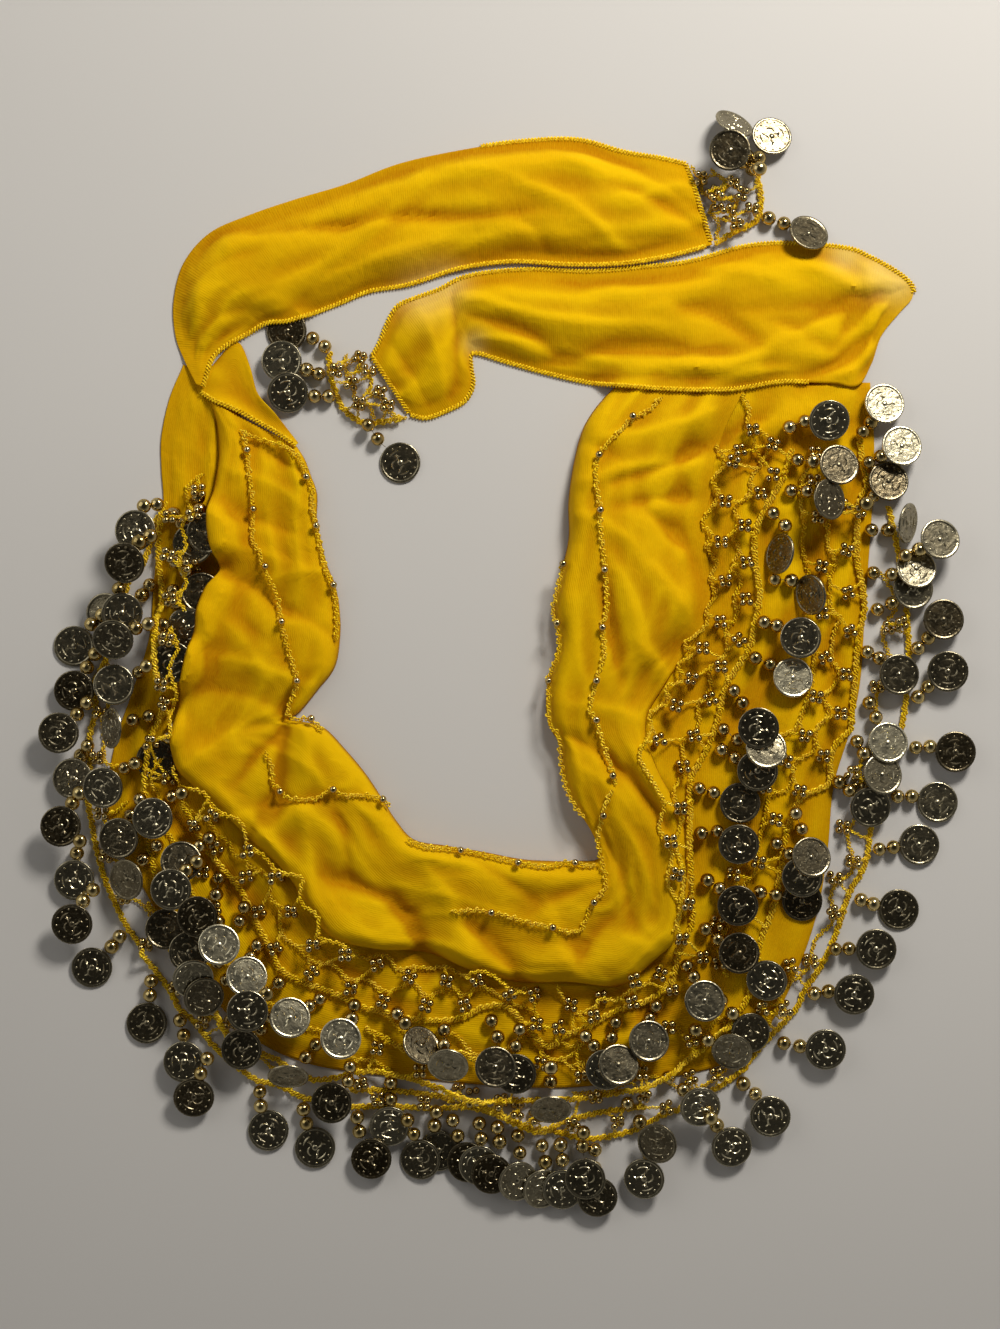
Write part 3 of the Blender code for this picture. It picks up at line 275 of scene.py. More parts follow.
# The nets, one entry for each stretch that the model has: the thick cord along its free edge, the thin chains
# above it, and the middles of its clusters of four beads.
MAIN_CORDS = {
    "net_3_left": [
        [(58, 346), (50, 321), (44, 316), (38, 292), (31, 272), (26, 262), (27, 250), (24, 237), (24, 222),
         (23, 205), (25, 193), (27, 182), (31, 167), (36, 155), (42, 143), (50, 132)],
    ],
    "net_3_bottom": [
        [(50, 132), (54, 124), (60, 116), (65, 108), (68, 102), (75, 96), (83, 86), (90, 79), (100, 71),
         (107, 66.5), (115, 65), (122, 62), (130, 58), (150, 54), (170, 54), (195, 53), (210, 54), (225, 50),
         (240, 44), (252, 42), (270, 38), (292, 42), (305, 49), (318, 54), (335, 64), (345, 71)],
        [(152, 62), (167, 62), (190, 60), (214, 56), (232, 47), (246, 42), (256, 46), (276, 51), (298, 54)],
    ],
    "net_3_right": [
        [(345, 71), (352, 80), (359, 88), (366, 95), (373, 103), (377, 112), (384, 122), (390, 134),
         (394, 145), (399, 160), (405, 170), (408, 180), (409, 190), (415, 208), (420, 226), (425, 244),
         (427, 260), (428, 275), (427, 297), (425, 315), (418, 350)],
    ],
    "net_2_left": [
        [(61, 352), (59, 342), (58, 325), (60, 308), (59, 290), (59, 272), (61, 258), (59, 246), (55, 236),
         (52, 214), (53, 190), (57, 168), (62, 154)],
    ],
    "net_2_bottom": [
        [(52, 154), (57, 149), (63, 138), (68, 126), (80, 112), (90, 95), (98, 84), (112, 79), (120, 75),
         (132, 68), (145, 68), (158, 72), (176, 70), (195, 64), (214, 60), (232, 58), (250, 57), (270, 59),
         (288, 62), (305, 68), (322, 80), (336, 92)],
        [(160, 93), (170, 88), (180, 82), (192, 76), (206, 81), (215, 77)],
    ],
    "net_2_right": [
        [(336, 92), (346, 104), (352, 118), (354, 134), (360, 150), (364, 168), (367, 188), (374, 206),
         (388, 213), (389, 225), (392, 233), (399, 240), (400, 250), (401, 262), (403, 285), (406, 300),
         (404, 315), (402, 325), (403, 350), (407, 360), (405, 370), (403, 385)],
    ],
    "net_1_bottom": [
        [(69, 204), (73, 198), (80, 184), (90, 171), (99, 160), (106, 146), (113, 133), (118, 123),
         (127, 117), (140, 112), (152, 107), (160, 103), (170, 101), (175, 98.5), (190, 97), (200, 97),
         (210, 99), (217, 103), (228, 104), (235, 99), (240, 93), (250, 84), (257, 89), (265, 92), (275, 97),
         (285, 102), (300, 107), (311, 117), (315, 135)],
    ],
    "net_1_right": [
        [(313, 130), (318, 138), (321, 147), (320, 160), (319, 190), (320, 200), (320, 215), (328, 230),
         (333, 243), (338, 262), (349, 280), (351, 290), (354, 306), (352, 322), (352, 338), (360, 354),
         (366, 365), (370, 378)],
    ],
    "net_tie_a": [[(353, 513), (355, 503), (354, 493), (350, 489), (340, 484), (332, 479)]],
    "net_tie_b": [[(142, 426), (142.5, 415), (146, 404), (150, 397), (160, 391), (178, 393)]],
}
CHAINS = {
    "net_3_left": [
        [(52, 338), (46, 330), (41, 318), (37, 306), (33, 292), (31, 279), (34, 266), (33, 252), (30, 246),
         (31, 236), (31, 226), (34, 222), (39, 222)],
        [(43, 205), (38, 200), (32, 197), (33, 190), (35, 182), (38, 172), (42, 160), (52, 151), (56, 140)],
    ],
    "net_3_bottom": [
        [(62, 134), (67, 124), (73, 112), (78, 100), (88, 96), (96, 82), (108, 78), (118, 70), (134, 67)],
        [(153, 78), (165, 76), (175, 70), (190, 65), (200, 57), (215, 53), (227, 50), (240, 44)],
        [(262, 60), (280, 62), (300, 69), (318, 62), (330, 66), (346, 80)],
    ],
    "net_3_right": [
        [(362, 100), (366, 112), (378, 122), (382, 136), (391, 146), (390, 160), (401, 172), (398, 188),
         (406, 204), (404, 222), (413, 238), (412, 256), (420, 270), (415, 288), (422, 302), (414, 318)],
    ],
    "net_2_left": [
        [(80, 366), (72, 358), (75, 346), (71, 340), (73, 330), (70, 322), (73, 312), (70, 304), (73, 298)],
        [(66, 290), (70, 280), (66, 270), (69, 258), (65, 248), (66, 238), (60, 236)],
        [(60, 226), (55, 216), (59, 206), (60, 194), (66, 184), (66, 172), (74, 162), (78, 150)],
    ],
    "net_2_bottom": [
        [(78, 150), (84, 140), (88, 128), (98, 120), (104, 108), (116, 104), (124, 94), (138, 92), (150, 84)],
        [(170, 100), (178, 92), (190, 88), (204, 90), (214, 80), (228, 82), (240, 90), (250, 78), (262, 80),
         (270, 92), (262, 84), (255, 88)],
        [(262, 74), (275, 78), (290, 76), (300, 82), (310, 96), (322, 84), (334, 98), (340, 88)],
    ],
    "net_2_right": [
        [(375, 366), (374, 352), (376, 340), (375, 330), (379, 312), (377, 298), (381, 282), (380, 265),
         (377, 254), (374, 246), (371, 240), (363, 236), (358, 226), (352, 214), (350, 200), (346, 186),
         (348, 172)],
        [(385, 362), (390, 352), (388, 342), (388, 330), (392, 322), (389, 315), (389, 300), (394, 295),
         (391, 288), (390, 275), (394, 268), (391, 262), (386, 256), (388, 248), (382, 240), (381, 230),
         (372, 224), (370, 215), (367, 210), (359, 207), (357, 198), (355, 190), (353, 180), (352, 170),
         (344, 160), (340, 146), (334, 132), (338, 118)],
    ],
    "net_1_bottom": [
        [(66, 222), (70, 212), (76, 211), (82, 209), (86, 203), (91, 199), (99, 196), (102, 190), (103, 184),
         (111, 178), (116, 172), (121, 170), (130, 168), (129, 161), (130, 155), (137, 150), (138, 144),
         (139, 138), (150, 135), (158, 128), (170, 129), (176, 122), (184, 123), (192, 122), (200, 123),
         (208, 119), (216, 122), (224, 119), (232, 112), (240, 112)],
        [(71, 203), (76, 198), (82, 196), (87, 189), (93, 184), (96, 178), (101, 176), (106, 171), (110, 170),
         (114, 164), (113, 158), (118, 152), (118, 146), (120, 138), (127, 133), (134, 126), (144, 124),
         (152, 117), (160, 117), (170, 111), (177, 113), (184, 115), (190, 109), (197, 111), (203, 113),
         (209, 109), (217, 113), (226, 109), (234, 104), (243, 101), (249, 92)],
        [(254, 114), (260, 104), (264, 100), (272, 103), (276, 108), (284, 107), (292, 112), (300, 116),
         (306, 124)],
    ],
    "net_1_right": [
        [(345, 405), (349, 397), (348, 390), (355, 386), (360, 382)],
        [(332, 380), (337, 371), (331, 363), (334, 356), (331, 350), (326, 342), (330, 336), (328, 330),
         (333, 322), (330, 315), (332, 306), (328, 299), (328, 292), (322, 286), (317, 282), (320, 276),
         (314, 272), (315, 264), (308, 261), (308, 254), (300, 248), (300, 240), (294, 228), (300, 216),
         (306, 204), (304, 192), (310, 180), (308, 166), (314, 154), (311, 142)],
        [(350, 380), (355, 372), (350, 364), (349, 356), (342, 349), (344, 342), (341, 335), (344, 328),
         (341, 320), (345, 313), (342, 305), (343, 296), (338, 288), (338, 278), (330, 270), (330, 260),
         (324, 252), (324, 242), (316, 232), (318, 220), (311, 210), (315, 198), (312, 184), (316, 170),
         (314, 156)],
    ],
    "net_tie_a": [
        [(320, 517), (325, 512), (326, 505), (332, 502), (330, 495), (334, 490), (333, 482)],
        [(330, 516), (337, 510), (336, 503), (343, 500), (340, 493), (346, 490), (341, 485)],
    ],
    "net_tie_b": [
        [(160, 424), (157, 418), (163, 412), (162, 406), (170, 402), (172, 396), (180, 393)],
        [(150, 425), (150, 417), (154, 411), (155, 403), (162, 399), (164, 393)],
    ],
}
CLUSTERS = {
    "net_3_left": [(30, 248), (35, 262), (52, 134), (41, 157), (33, 178), (31, 199), (28, 226), (40, 300)],
    "net_3_bottom": [
        (67, 113), (94, 96), (80, 96), (119, 69), (158, 66), (166, 58), (189, 57), (206, 62), (213, 60),
        (227, 57), (235, 53), (244, 50), (262, 46), (284, 47), (308, 54), (297, 60), (320, 69), (333, 70),
    ],
    "net_3_right": [
        (355, 103), (366, 103), (369, 124), (379, 126), (390, 150), (391, 167), (400, 175), (395, 192),
        (403, 214), (399, 219), (412, 261), (417, 290), (423, 292),
    ],
    "net_2_left": [
        (65, 344), (65, 325), (66, 303.5), (65, 284), (62, 262), (62, 253), (77, 345), (76, 320), (79, 357),
        (64, 216), (56, 234),
    ],
    "net_2_bottom": [
        (80, 170), (86, 152), (166, 84), (187, 73), (246, 76), (266, 70), (273, 59), (296, 72), (309, 94),
        (320, 88), (276, 108), (236, 72),
    ],
    "net_2_right": [
        (381, 376), (380, 362), (382, 344), (384, 320), (384, 297), (386, 275), (381, 256), (375.5, 237),
        (366, 225), (395, 350), (403, 347), (396, 328), (397, 307), (398, 288), (396, 267), (393, 248),
        (385, 227), (373, 210), (361.5, 196), (353, 175), (341, 169), (333, 145), (334, 125), (348, 150),
        (356, 212),
    ],
    "net_1_bottom": [
        (86, 198), (103, 181), (117, 168), (124, 151), (135, 135), (151, 131), (166, 125), (182, 119),
        (200, 117), (215, 117), (231, 110), (243, 110), (261, 105), (292, 118), (305, 120), (76, 193),
        (87, 182), (102, 168), (108, 151), (116, 133), (134, 121), (153, 113), (169, 107), (190, 105),
        (209, 105), (244, 96), (255, 94), (272, 100), (291, 107), (311, 112),
    ],
    "net_1_right": [
        (315, 138), (318, 155), (326, 128), (350, 387), (344, 377), (340, 371), (336.5, 352), (334.5, 332),
        (337, 313), (334.5, 293), (325.5, 280), (320, 265), (312.5, 252), (304, 235), (360, 380), (360, 365),
        (354, 356), (346, 340), (347, 322), (347, 304), (343.5, 284), (334.5, 271), (329.5, 255),
        (321.5, 237), (316, 222), (314, 202), (309, 186), (312, 170),
    ],
    "net_tie_a": [
        (325, 511), (331, 504), (341, 509), (345, 503), (333, 499), (338, 494), (342, 488), (350, 496),
    ],
    "net_tie_b": [(157, 423), (146, 416), (153, 410), (162, 416), (167, 406), (157, 400), (171, 399)],
}

# The drops: the middle of the coin, the bead next to it, the bead beyond, and how far and which way the
# coin's face leans, in degrees. With no lean given the coin lies as it settles.
# Tilts that turn a coin to the light; these coins are also painted a paler, lit tint.
LIT = (21, 58)
GLEAM = (12, 50)
DROPS = {
    "fringe_3_left": table(
        Drop,
        (33, 297, 39, 309, 42, 315), (16, 281, 26.5, 291.5, 32, 296), (17, 259, 23, 270.5, 27, 277),
        (10.5, 238.5, 19, 247.5, 24, 253), (16.5, 216, 20, 227, 24, 232), (12, 193, 17, 204, 21, 209),
        (17, 166, 18, 179, 22, 186), (17, 145, 22, 156, 27, 161.5), (25, 122.5, 35, 133, 39, 138),
    ),
    "fringe_3_bottom": table(
        Drop,
        (52, 95, 54, 109, 54.5, 116), (71, 77, 70.5, 89.5, 69, 97), (76, 59.5, 80, 72, 83, 79),
        (112, 42, 108.5, 54.5, 108, 61.5), (135, 33.5, 131, 46, 129.5, 53),
        (172, 45, 172.5, 58, 172.5, 66, 8, 270), (163, 29, 157, 42, 156, 49), (196, 32, 194, 45, 195, 52),
        (187, 28, 184, 41.5, 181, 49), (210, 27, 205.5, 40, 203, 47.5, 8, 200),
        (216, 26, 217, 38.5, 216, 46, 6, 250), (222, 22, 226, 37, 225, 44, 6, 260),
        (235, 18.5, 236, 31.5, 235, 40), (247, 14, 248.5, 27, 247, 35), (257, 14, 257, 28, 256, 35.5, 6, 270),
        (274, 10.5, 273, 24, 273, 33, 6, 270), (268, 20, 267, 35, 267, 43, 8, 180),
        (297, 19.5, 300, 30, 302, 37, 10, 200), (303, 38, 295, 47, 289, 56, 24, 200),
        (324, 56, 316, 64, 309, 69), (340, 35, 333, 45, 329, 51), (359, 50, 352, 60.5, 346, 65.5),
    ),
    "fringe_3_right": table(
        Drop,
        (386, 83, 374, 84, 366, 85.5), (400, 110, 388, 111, 381, 110), (411, 132, 398, 132, 391, 132),
        (423, 151, 410, 154, 404, 156), (433, 183, 420, 182, 413, 181), (442, 204, 429, 207, 422, 207),
        (450, 229, 438, 231.5, 431, 231), (446, 268.5, 437, 261, 432, 256), (444, 294, 437, 285, 432, 280),
    ),
    "fringe_2_left": table(
        Drop,
        (49, 337, 53, 349, 59, 350), (45, 321, 52, 331, 57, 334), (42, 297, 50, 306, 54, 311),
        (38, 284, 49, 289.5, 56, 291.5), (37, 262, 48.5, 268, 55, 271),
        (37, 241, 46, 244.5, 54, 246.5, 55, 180), (33, 212, 42, 221, 48, 223.5, 10, 200),
        (40, 187, 45, 198, 50, 206, 10, 180), (44, 167, 51, 176, 58, 183, 30, 190),
    ),
    "fringe_2_bottom": table(
        Drop,
        (62, 142, 65, 156, 66, 163, 14, 60), (75, 132, 84, 140, 88, 146, 12, 60), (77, 119, 88, 126, 92, 132),
        (82, 110, 92, 117, 97, 122), (100, 84, 109, 93, 114, 99), (123, 71, 131, 79, 136, 85.5, 50, 270),
        (144, 58, 152, 68, 153, 75), (251, 55, 251, 67, 251, 75.5, 42, 270), (349, 91, 340, 101, 335, 107),
        (340, 82, 328, 88, 322, 93),
    ),
    "fringe_2_right": table(
        Drop,
        (357, 117, 350, 128, 346, 134, 10, 200), (375, 155.5, 361.5, 159, 354, 160),
        (374, 168, 368, 179, 362, 184, 12, 200), (378, 178, 374.5, 191, 371, 199),
        (408, 202, 398, 210, 393, 214), (414, 218, 405, 228, 402, 234),
        (417, 233.5, 411, 246, 408, 253) + GLEAM, (422, 267, 413, 275, 407, 278),
        (429, 309, 419, 302, 412, 299), (430, 319, 418, 316, 410, 317), (441, 333, 431, 328, 424, 325),
        (426, 341, 417, 338, 409, 338, 56, 350), (417, 362, 410, 355, 404, 350, 12, 60),
        (423, 379, 413, 374, 407, 371) + GLEAM, (415, 400, 408.5, 391, 404, 386) + GLEAM,
    ),
    "fringe_1_bottom": table(
        Drop,
        (57, 197, 65, 207, 71, 209, 6, 180), (71, 176, 79, 183, 84, 187, 18, 60),
        (67, 163, 74, 172, 79, 176, 4, 200), (80, 150, 87, 159, 88, 167, 8, 200),
        (91, 137, 98.5, 146, 101, 153) + LIT, (103, 120, 104, 128.5, 107, 134) + LIT,
        (104, 104, 113, 112, 118, 116, 6, 60), (124, 100, 133, 104.5, 138, 108) + LIT,
        (149, 90.5, 154, 99, 155, 105) + LIT, (188, 86, 180, 97, 176, 101, 45, 50),
        (201, 77, 199, 86, 199, 93, 32, 260), (234, 72, 234, 85, 236, 93, 6, 250),
        (224, 76, 225, 89, 222, 97, 16, 60), (278, 74, 272, 85, 268, 90, 6, 200), (284, 77, 281, 89, 283, 96),
        (299, 88, 300, 98, 303, 104, 16, 60),
    ),
    "fringe_1_right": table(
        Drop,
        (326, 108, 321, 119, 318, 124, 14, 60), (343, 131, 333, 137, 327, 142),
        (342.5, 154, 334, 162, 328, 166, 8, 200), (343, 184, 333, 190, 325, 189, 12, 250),
        (344, 204, 331, 209, 324, 211), (352, 220, 341.5, 226, 335, 230, 8, 200),
        (356, 231, 343, 235, 336, 240), (352, 241, 345.5, 253, 341, 259, 8, 220),
        (370, 265.5, 359, 272, 351.5, 275) + GLEAM, (373, 285, 362, 291, 355.5, 292.5),
        (378, 306, 369, 313, 361, 313.5, 52, 190), (363, 326, 366, 340, 360, 346, 56, 170),
        (386, 352, 376, 356.5, 369, 357, 38, 10), (391, 369, 379, 371, 372, 372),
        (387, 391, 375.5, 391, 368, 388),
    ),
    "tie_b_drops": table(
        Drop,
        (121, 436.5, 134, 432.5, 140, 428.5, 6, 200), (119, 421, 131, 417, 137, 415),
        (122, 405.5, 135, 404, 142, 404), (177, 371.5, 166, 383, 161.5, 389.5),
    ),
    "tie_a_drops": table(
        Drop,
        (341, 537, 348, 522, 350.5, 516, 50, 60), (338, 522, 345, 518, 351, 514, 6, 200),
        (360, 532, 353, 520, 352.5, 513, 17, 66), (378, 484, 366, 489, 358.5, 491.5, 30, 60),
    ),
}
# Coins of the second row that lie half under the folded top of the body.
TUCKED = table(
    Drop,
    (76, 331, 70, 341, 66, 346, 6, 200), (83, 336, 79, 348, 78, 354, 6, 200), (80, 307, 72, 317, 68, 322),
    (73.5, 290, 68, 302, 66, 308), (67, 273, 63, 285, 62, 291), (57.5, 225, 64, 236, 66, 241),
)

# The waist braids.
BRAIDS = {
    "waist_braid_1_left": [
        (99, 386), (110, 382), (120, 379), (127, 374), (131, 366), (134, 358), (134, 350), (136, 341),
        (138, 330), (141, 318), (144, 311), (145.5, 303), (146, 292), (145.5, 284),
    ],
    "waist_braid_2_left": [
        (101, 386), (102, 379), (103, 370), (105, 352), (105, 333), (108, 328), (110, 321), (113, 314),
        (116, 308), (118, 300), (119, 293), (123, 278), (127, 264), (125, 257), (122, 249), (125, 245),
        (132, 245), (140, 240),
    ],
    "waist_braid_2_corner": [
        (111, 229), (113, 226), (115, 221), (115, 215), (119, 210), (122, 207), (130, 206), (138, 207),
        (142, 210), (145, 211), (150, 208), (160, 208), (166, 207), (169, 206), (172, 202),
    ],
    "waist_braid_1_bottom": [
        (181, 186), (190, 183), (200, 182), (207, 181), (221, 178), (235, 175), (250, 173), (258, 175),
        (265, 174), (273, 173),
    ],
    "waist_braid_2_bottom": [
        (203, 151), (212, 152), (222, 151), (230, 149), (240, 146), (252, 144), (258, 142), (265, 142),
        (268, 147), (272, 156), (276, 160), (278, 165), (277, 172), (275, 180), (274, 187), (276, 198),
        (278, 205), (281, 211),
    ],
    "waist_braid_1_right": [
        (257, 322), (256, 316), (254, 308), (252, 297), (254, 292), (255, 280), (253, 273), (250, 265),
        (250, 255), (250, 247), (251, 242), (255, 236), (256, 225), (258, 213), (262, 204), (267, 197),
    ],
    "waist_braid_2_right": [
        (305, 403), (300, 397), (291, 392), (285, 386), (280, 381), (274, 373), (273, 362), (275, 348),
        (275, 340), (277, 322), (278, 310), (278, 298), (276, 290), (277, 277), (273, 264), (270, 250),
        (273, 245), (277, 232), (281, 220), (283, 214),
    ],
}
BRAID_BEADS = {
    "waist_braid_1_left": [(131, 364), (136, 340), (144.5, 311)],
    "waist_braid_2_left": [(102.5, 377), (105.5, 348), (111.5, 320), (119.5, 293), (127, 264), (134, 245.5)],
    "waist_braid_2_corner": [(119, 210), (145, 211), (169, 206)],
    "waist_braid_1_bottom": [(207, 181), (235, 175), (263, 175)],
    "waist_braid_2_bottom": [(222, 151), (252, 144), (272, 156), (276.5, 198.5)],
    "waist_braid_1_right": [(257, 321), (254, 292), (250, 264)],
    "waist_braid_2_right": [
        (291, 393), (274.5, 374), (275, 347), (277, 318), (276, 290), (273, 264), (273, 245), (281, 218),
    ],
}


# ---------------------------------------------------------------- plan and heights


def world(x, y, z):
    """Plan and height in millimetres, as places in the model's frame. A deep pile presses together."""
    z = np.where(np.asarray(z) > PILE, PILE + PRESSED * (np.asarray(z) - PILE), z)
    return np.stack([np.asarray(x) * MM + CAD_LOW[0], np.asarray(y) * MM + CAD_LOW[1], z * MM], -1)


def smooth_rows(rows, count):
    """The rows' columns at this many even places, on a curve through the rows (Catmull-Rom)."""
    rows = np.array(rows, float)
    padded = np.vstack([2 * rows[0] - rows[1], rows, 2 * rows[-1] - rows[-2]])
    place = np.linspace(0, len(rows) - 1, count)
    start = np.minimum(place.astype(int), len(rows) - 2)
    t = (place - start)[:, None]
    before, here, after, beyond = (padded[start + step] for step in range(4))
    return 0.5 * (
        2 * here
        + (after - before) * t
        + (2 * before - 5 * here + 4 * after - beyond) * t**2
        + (3 * here - before - 3 * after + beyond) * t**3
    )


def path_lengths(points):
    steps = np.linalg.norm(np.diff(points, axis=0), axis=1)
    return np.concatenate([[0.0], np.cumsum(steps)])


def even_route(points, spacing):
    """Evenly spaced points on a smooth curve through these."""
    rows = smooth_rows(points, 12 * len(points))
    along = path_lengths(rows)
    even = np.linspace(0, along[-1], max(3, int(along[-1] / spacing) + 1))
    return np.stack([np.interp(even, along, column) for column in rows.T], 1)


def low_pass(field, across, up):
    """The field with waves shorter than about this many cells taken out, along its rows and its columns."""
    fx = np.fft.fftfreq(field.shape[0])[:, None]
    fy = np.fft.rfftfreq(field.shape[1])[None, :]
    keep = np.exp(-2 * ((fx * across) ** 2 + (fy * up) ** 2))
    return np.fft.irfft2(np.fft.rfft2(field) * keep, field.shape)


def noise_field(seed, across, up, shape=RASTER_SHAPE):
    field = low_pass(np.random.default_rng(seed).standard_normal(shape), across, up)
    return field / field.std()


def sample(field, x, y):
    """The field's value at plan points, between its cells."""
    px = np.clip(np.asarray(x) + MARGIN, 0, RASTER_SHAPE[0] - 1.001)
    py = np.clip(np.asarray(y) + MARGIN, 0, RASTER_SHAPE[1] - 1.001)
    i, j = px.astype(int), py.astype(int)
    u, v = px - i, py - j
    near = field[i, j] * (1 - v) + field[i, j + 1] * v
    far = field[i + 1, j] * (1 - v) + field[i + 1, j + 1] * v
    return near * (1 - u) + far * u


class Ground:
    """The highest surface so far above each spot, on a 1 mm raster."""

    def __init__(self):
        self.height = np.zeros(RASTER_SHAPE)

    def add(self, x, y, z):
        column = np.rint(np.ravel(x) + MARGIN).astype(int)
        row = np.rint(np.ravel(y) + MARGIN).astype(int)
        np.maximum.at(self.height, (column, row), np.ravel(z))

    def add_sheet(self, x, y, z):
        """Adds a grid of points and three more between each two."""
        for _ in range(2):
            x, y, z = (between(grid) for grid in (x, y, z))
        self.add(x, y, z)

    def raised(self, reach):
        """The highest surface within reach of each spot."""
        radius = int(math.ceil(reach))
        found = self.height.copy()
        for i in range(-radius, radius + 1):
            for j in range(-radius, radius + 1):
                if 0 < i * i + j * j <= reach * reach + 1:
                    np.maximum(found, np.roll(self.height, (i, j), (0, 1)), out=found)
        return found

    def draped(self, reach, blur):
        return low_pass(self.raised(reach), blur, blur)

    def window(self, x, y, radius):
        """The raster's cells within radius of a spot: their x, y and height."""
        reach = int(radius) + 1
        i, j = int(round(x + MARGIN)), int(round(y + MARGIN))
        near = np.arange(-reach, reach + 1)
        gx, gy = np.meshgrid(i + near, j + near, indexing="ij")
        inside = (gx - MARGIN - x) ** 2 + (gy - MARGIN - y) ** 2 <= radius * radius
        gx, gy = gx[inside], gy[inside]
        return gx - MARGIN, gy - MARGIN, self.height[gx, gy]


def between(grid):
    """The grid with a row between each two rows, and a column between each two columns."""
    for axis in (0, 1):
        grid = np.swapaxes(grid, 0, axis)
        doubled = np.empty((2 * grid.shape[0] - 1, grid.shape[1]))
        doubled[::2] = grid
        doubled[1::2] = (grid[1:] + grid[:-1]) / 2
        grid = np.swapaxes(doubled, 0, axis)
    return grid


WAVES = noise_field(11, 60, 60)
CRUMPLE = 1.1 - 1.4 * np.abs(noise_field(12, 26, 26))


def crease_height(x, y):
    total = np.zeros_like(x)
    for crease in CREASES:
        dx, dy = crease.x1 - crease.x0, crease.y1 - crease.y0
        length = math.hypot(dx, dy)
        run = ((x - crease.x0) * dx + (y - crease.y0) * dy) / length**2
        side = ((y - crease.y0) * dx - (x - crease.x0) * dy) / length
        inside = np.clip(run, 0, 1)
        side = side - crease.bend * 4 * inside * (1 - inside)
        left, right, power = TROUGH if crease.height < 0 else RIDGE
        swell = np.sin(math.pi * inside)
        width = np.where(side > 0, crease.left * left, crease.right * right) * (0.7 + 0.3 * swell)
        width = np.maximum(width, NARROWEST_CREASE)
        fade = np.exp(-(((run - inside) * length / CREASE_FADE) ** 2)) * (0.6 + 0.4 * swell)
        total += 0.85 * crease.height * np.exp(-(np.abs(side / width) ** power)) * fade
    return total


# ---------------------------------------------------------------- meshes


class Heap:
    """Vertices and faces of many small shapes, joined into one mesh."""

    def __init__(self):
        self.points, self.faces, self.values, self.count = [], [], [], 0

    def add(self, points, faces, value=0.0):
        """Adds a shape; its value is one number, or one for each point."""
        points = np.asarray(points, float)
        self.points.append(points)
        self.values.append(np.broadcast_to(value, len(points)).astype(float))
        self.faces += [tuple(index + self.count for index in face) for face in faces]
        self.count += len(points)

    def make(self, name, look):
        points = np.concatenate(self.points)
        mesh = bpy.data.meshes.new(name)
        mesh.from_pydata(world(points[:, 0], points[:, 1], points[:, 2]), [], self.faces)
        tint = mesh.attributes.new("tint", "FLOAT", "POINT")
        tint.data.foreach_set("value", np.concatenate(self.values))
        return finish_mesh(name, mesh, look)


def finish_mesh(name, mesh, look):
    mesh.materials.append(look)
    mesh.shade_smooth()
    mesh.set_sharp_from_angle(angle=SHARP_ANGLE)
    piece = bpy.data.objects.new(name, mesh)
    bpy.context.scene.collection.objects.link(piece)
    return piece


def stand_in(piece, nodes):
    """The piece rides with the scarf and stands for these nodes."""
    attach(piece, "root")
    if nodes:
        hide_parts(*nodes)
    return piece


def grid_faces(rows, columns, flip=False):
    i, j = np.meshgrid(np.arange(rows - 1), np.arange(columns - 1), indexing="ij")
    first = (i * columns + j).ravel()
    faces = np.stack([first, first + columns, first + columns + 1, first + 1], 1)
    return (faces[:, ::-1] if flip else faces).tolist()


def from_bmesh(bm):
    bm.verts.ensure_lookup_table()
    points = np.array([vert.co for vert in bm.verts])
    faces = [[vert.index for vert in face.verts] for face in bm.faces]
    bm.free()
    return points, faces


# ---------------------------------------------------------------- cloth


def roll(distance, width):
    """The rise of a rounded fold: upright at its edge, level past its width."""
    t = np.clip(distance / width, 0, 1)
    return np.sqrt(np.clip(1 - (1 - t) ** 2, 0, 1))


def ease(distance, width):
    """The rise of cloth from an edge that lies flat."""
    t = np.clip(distance / width, 0, 1)
    return t * t * (3 - 2 * t)


def box_mean(grid, reach):
    """Each point's mean over its neighbours in the grid, within reach of them both ways."""
    for axis in (0, 1):
        padded = np.pad(grid, [(reach + 1, reach) if k == axis else (0, 0) for k in (0, 1)], mode="edge")
        total = np.cumsum(padded, axis=axis)
        size = grid.shape[axis]
        high = np.take(total, np.arange(size) + 2 * reach + 1, axis=axis)
        grid = (high - np.take(total, np.arange(size), axis=axis)) / (2 * reach + 1)
    return grid


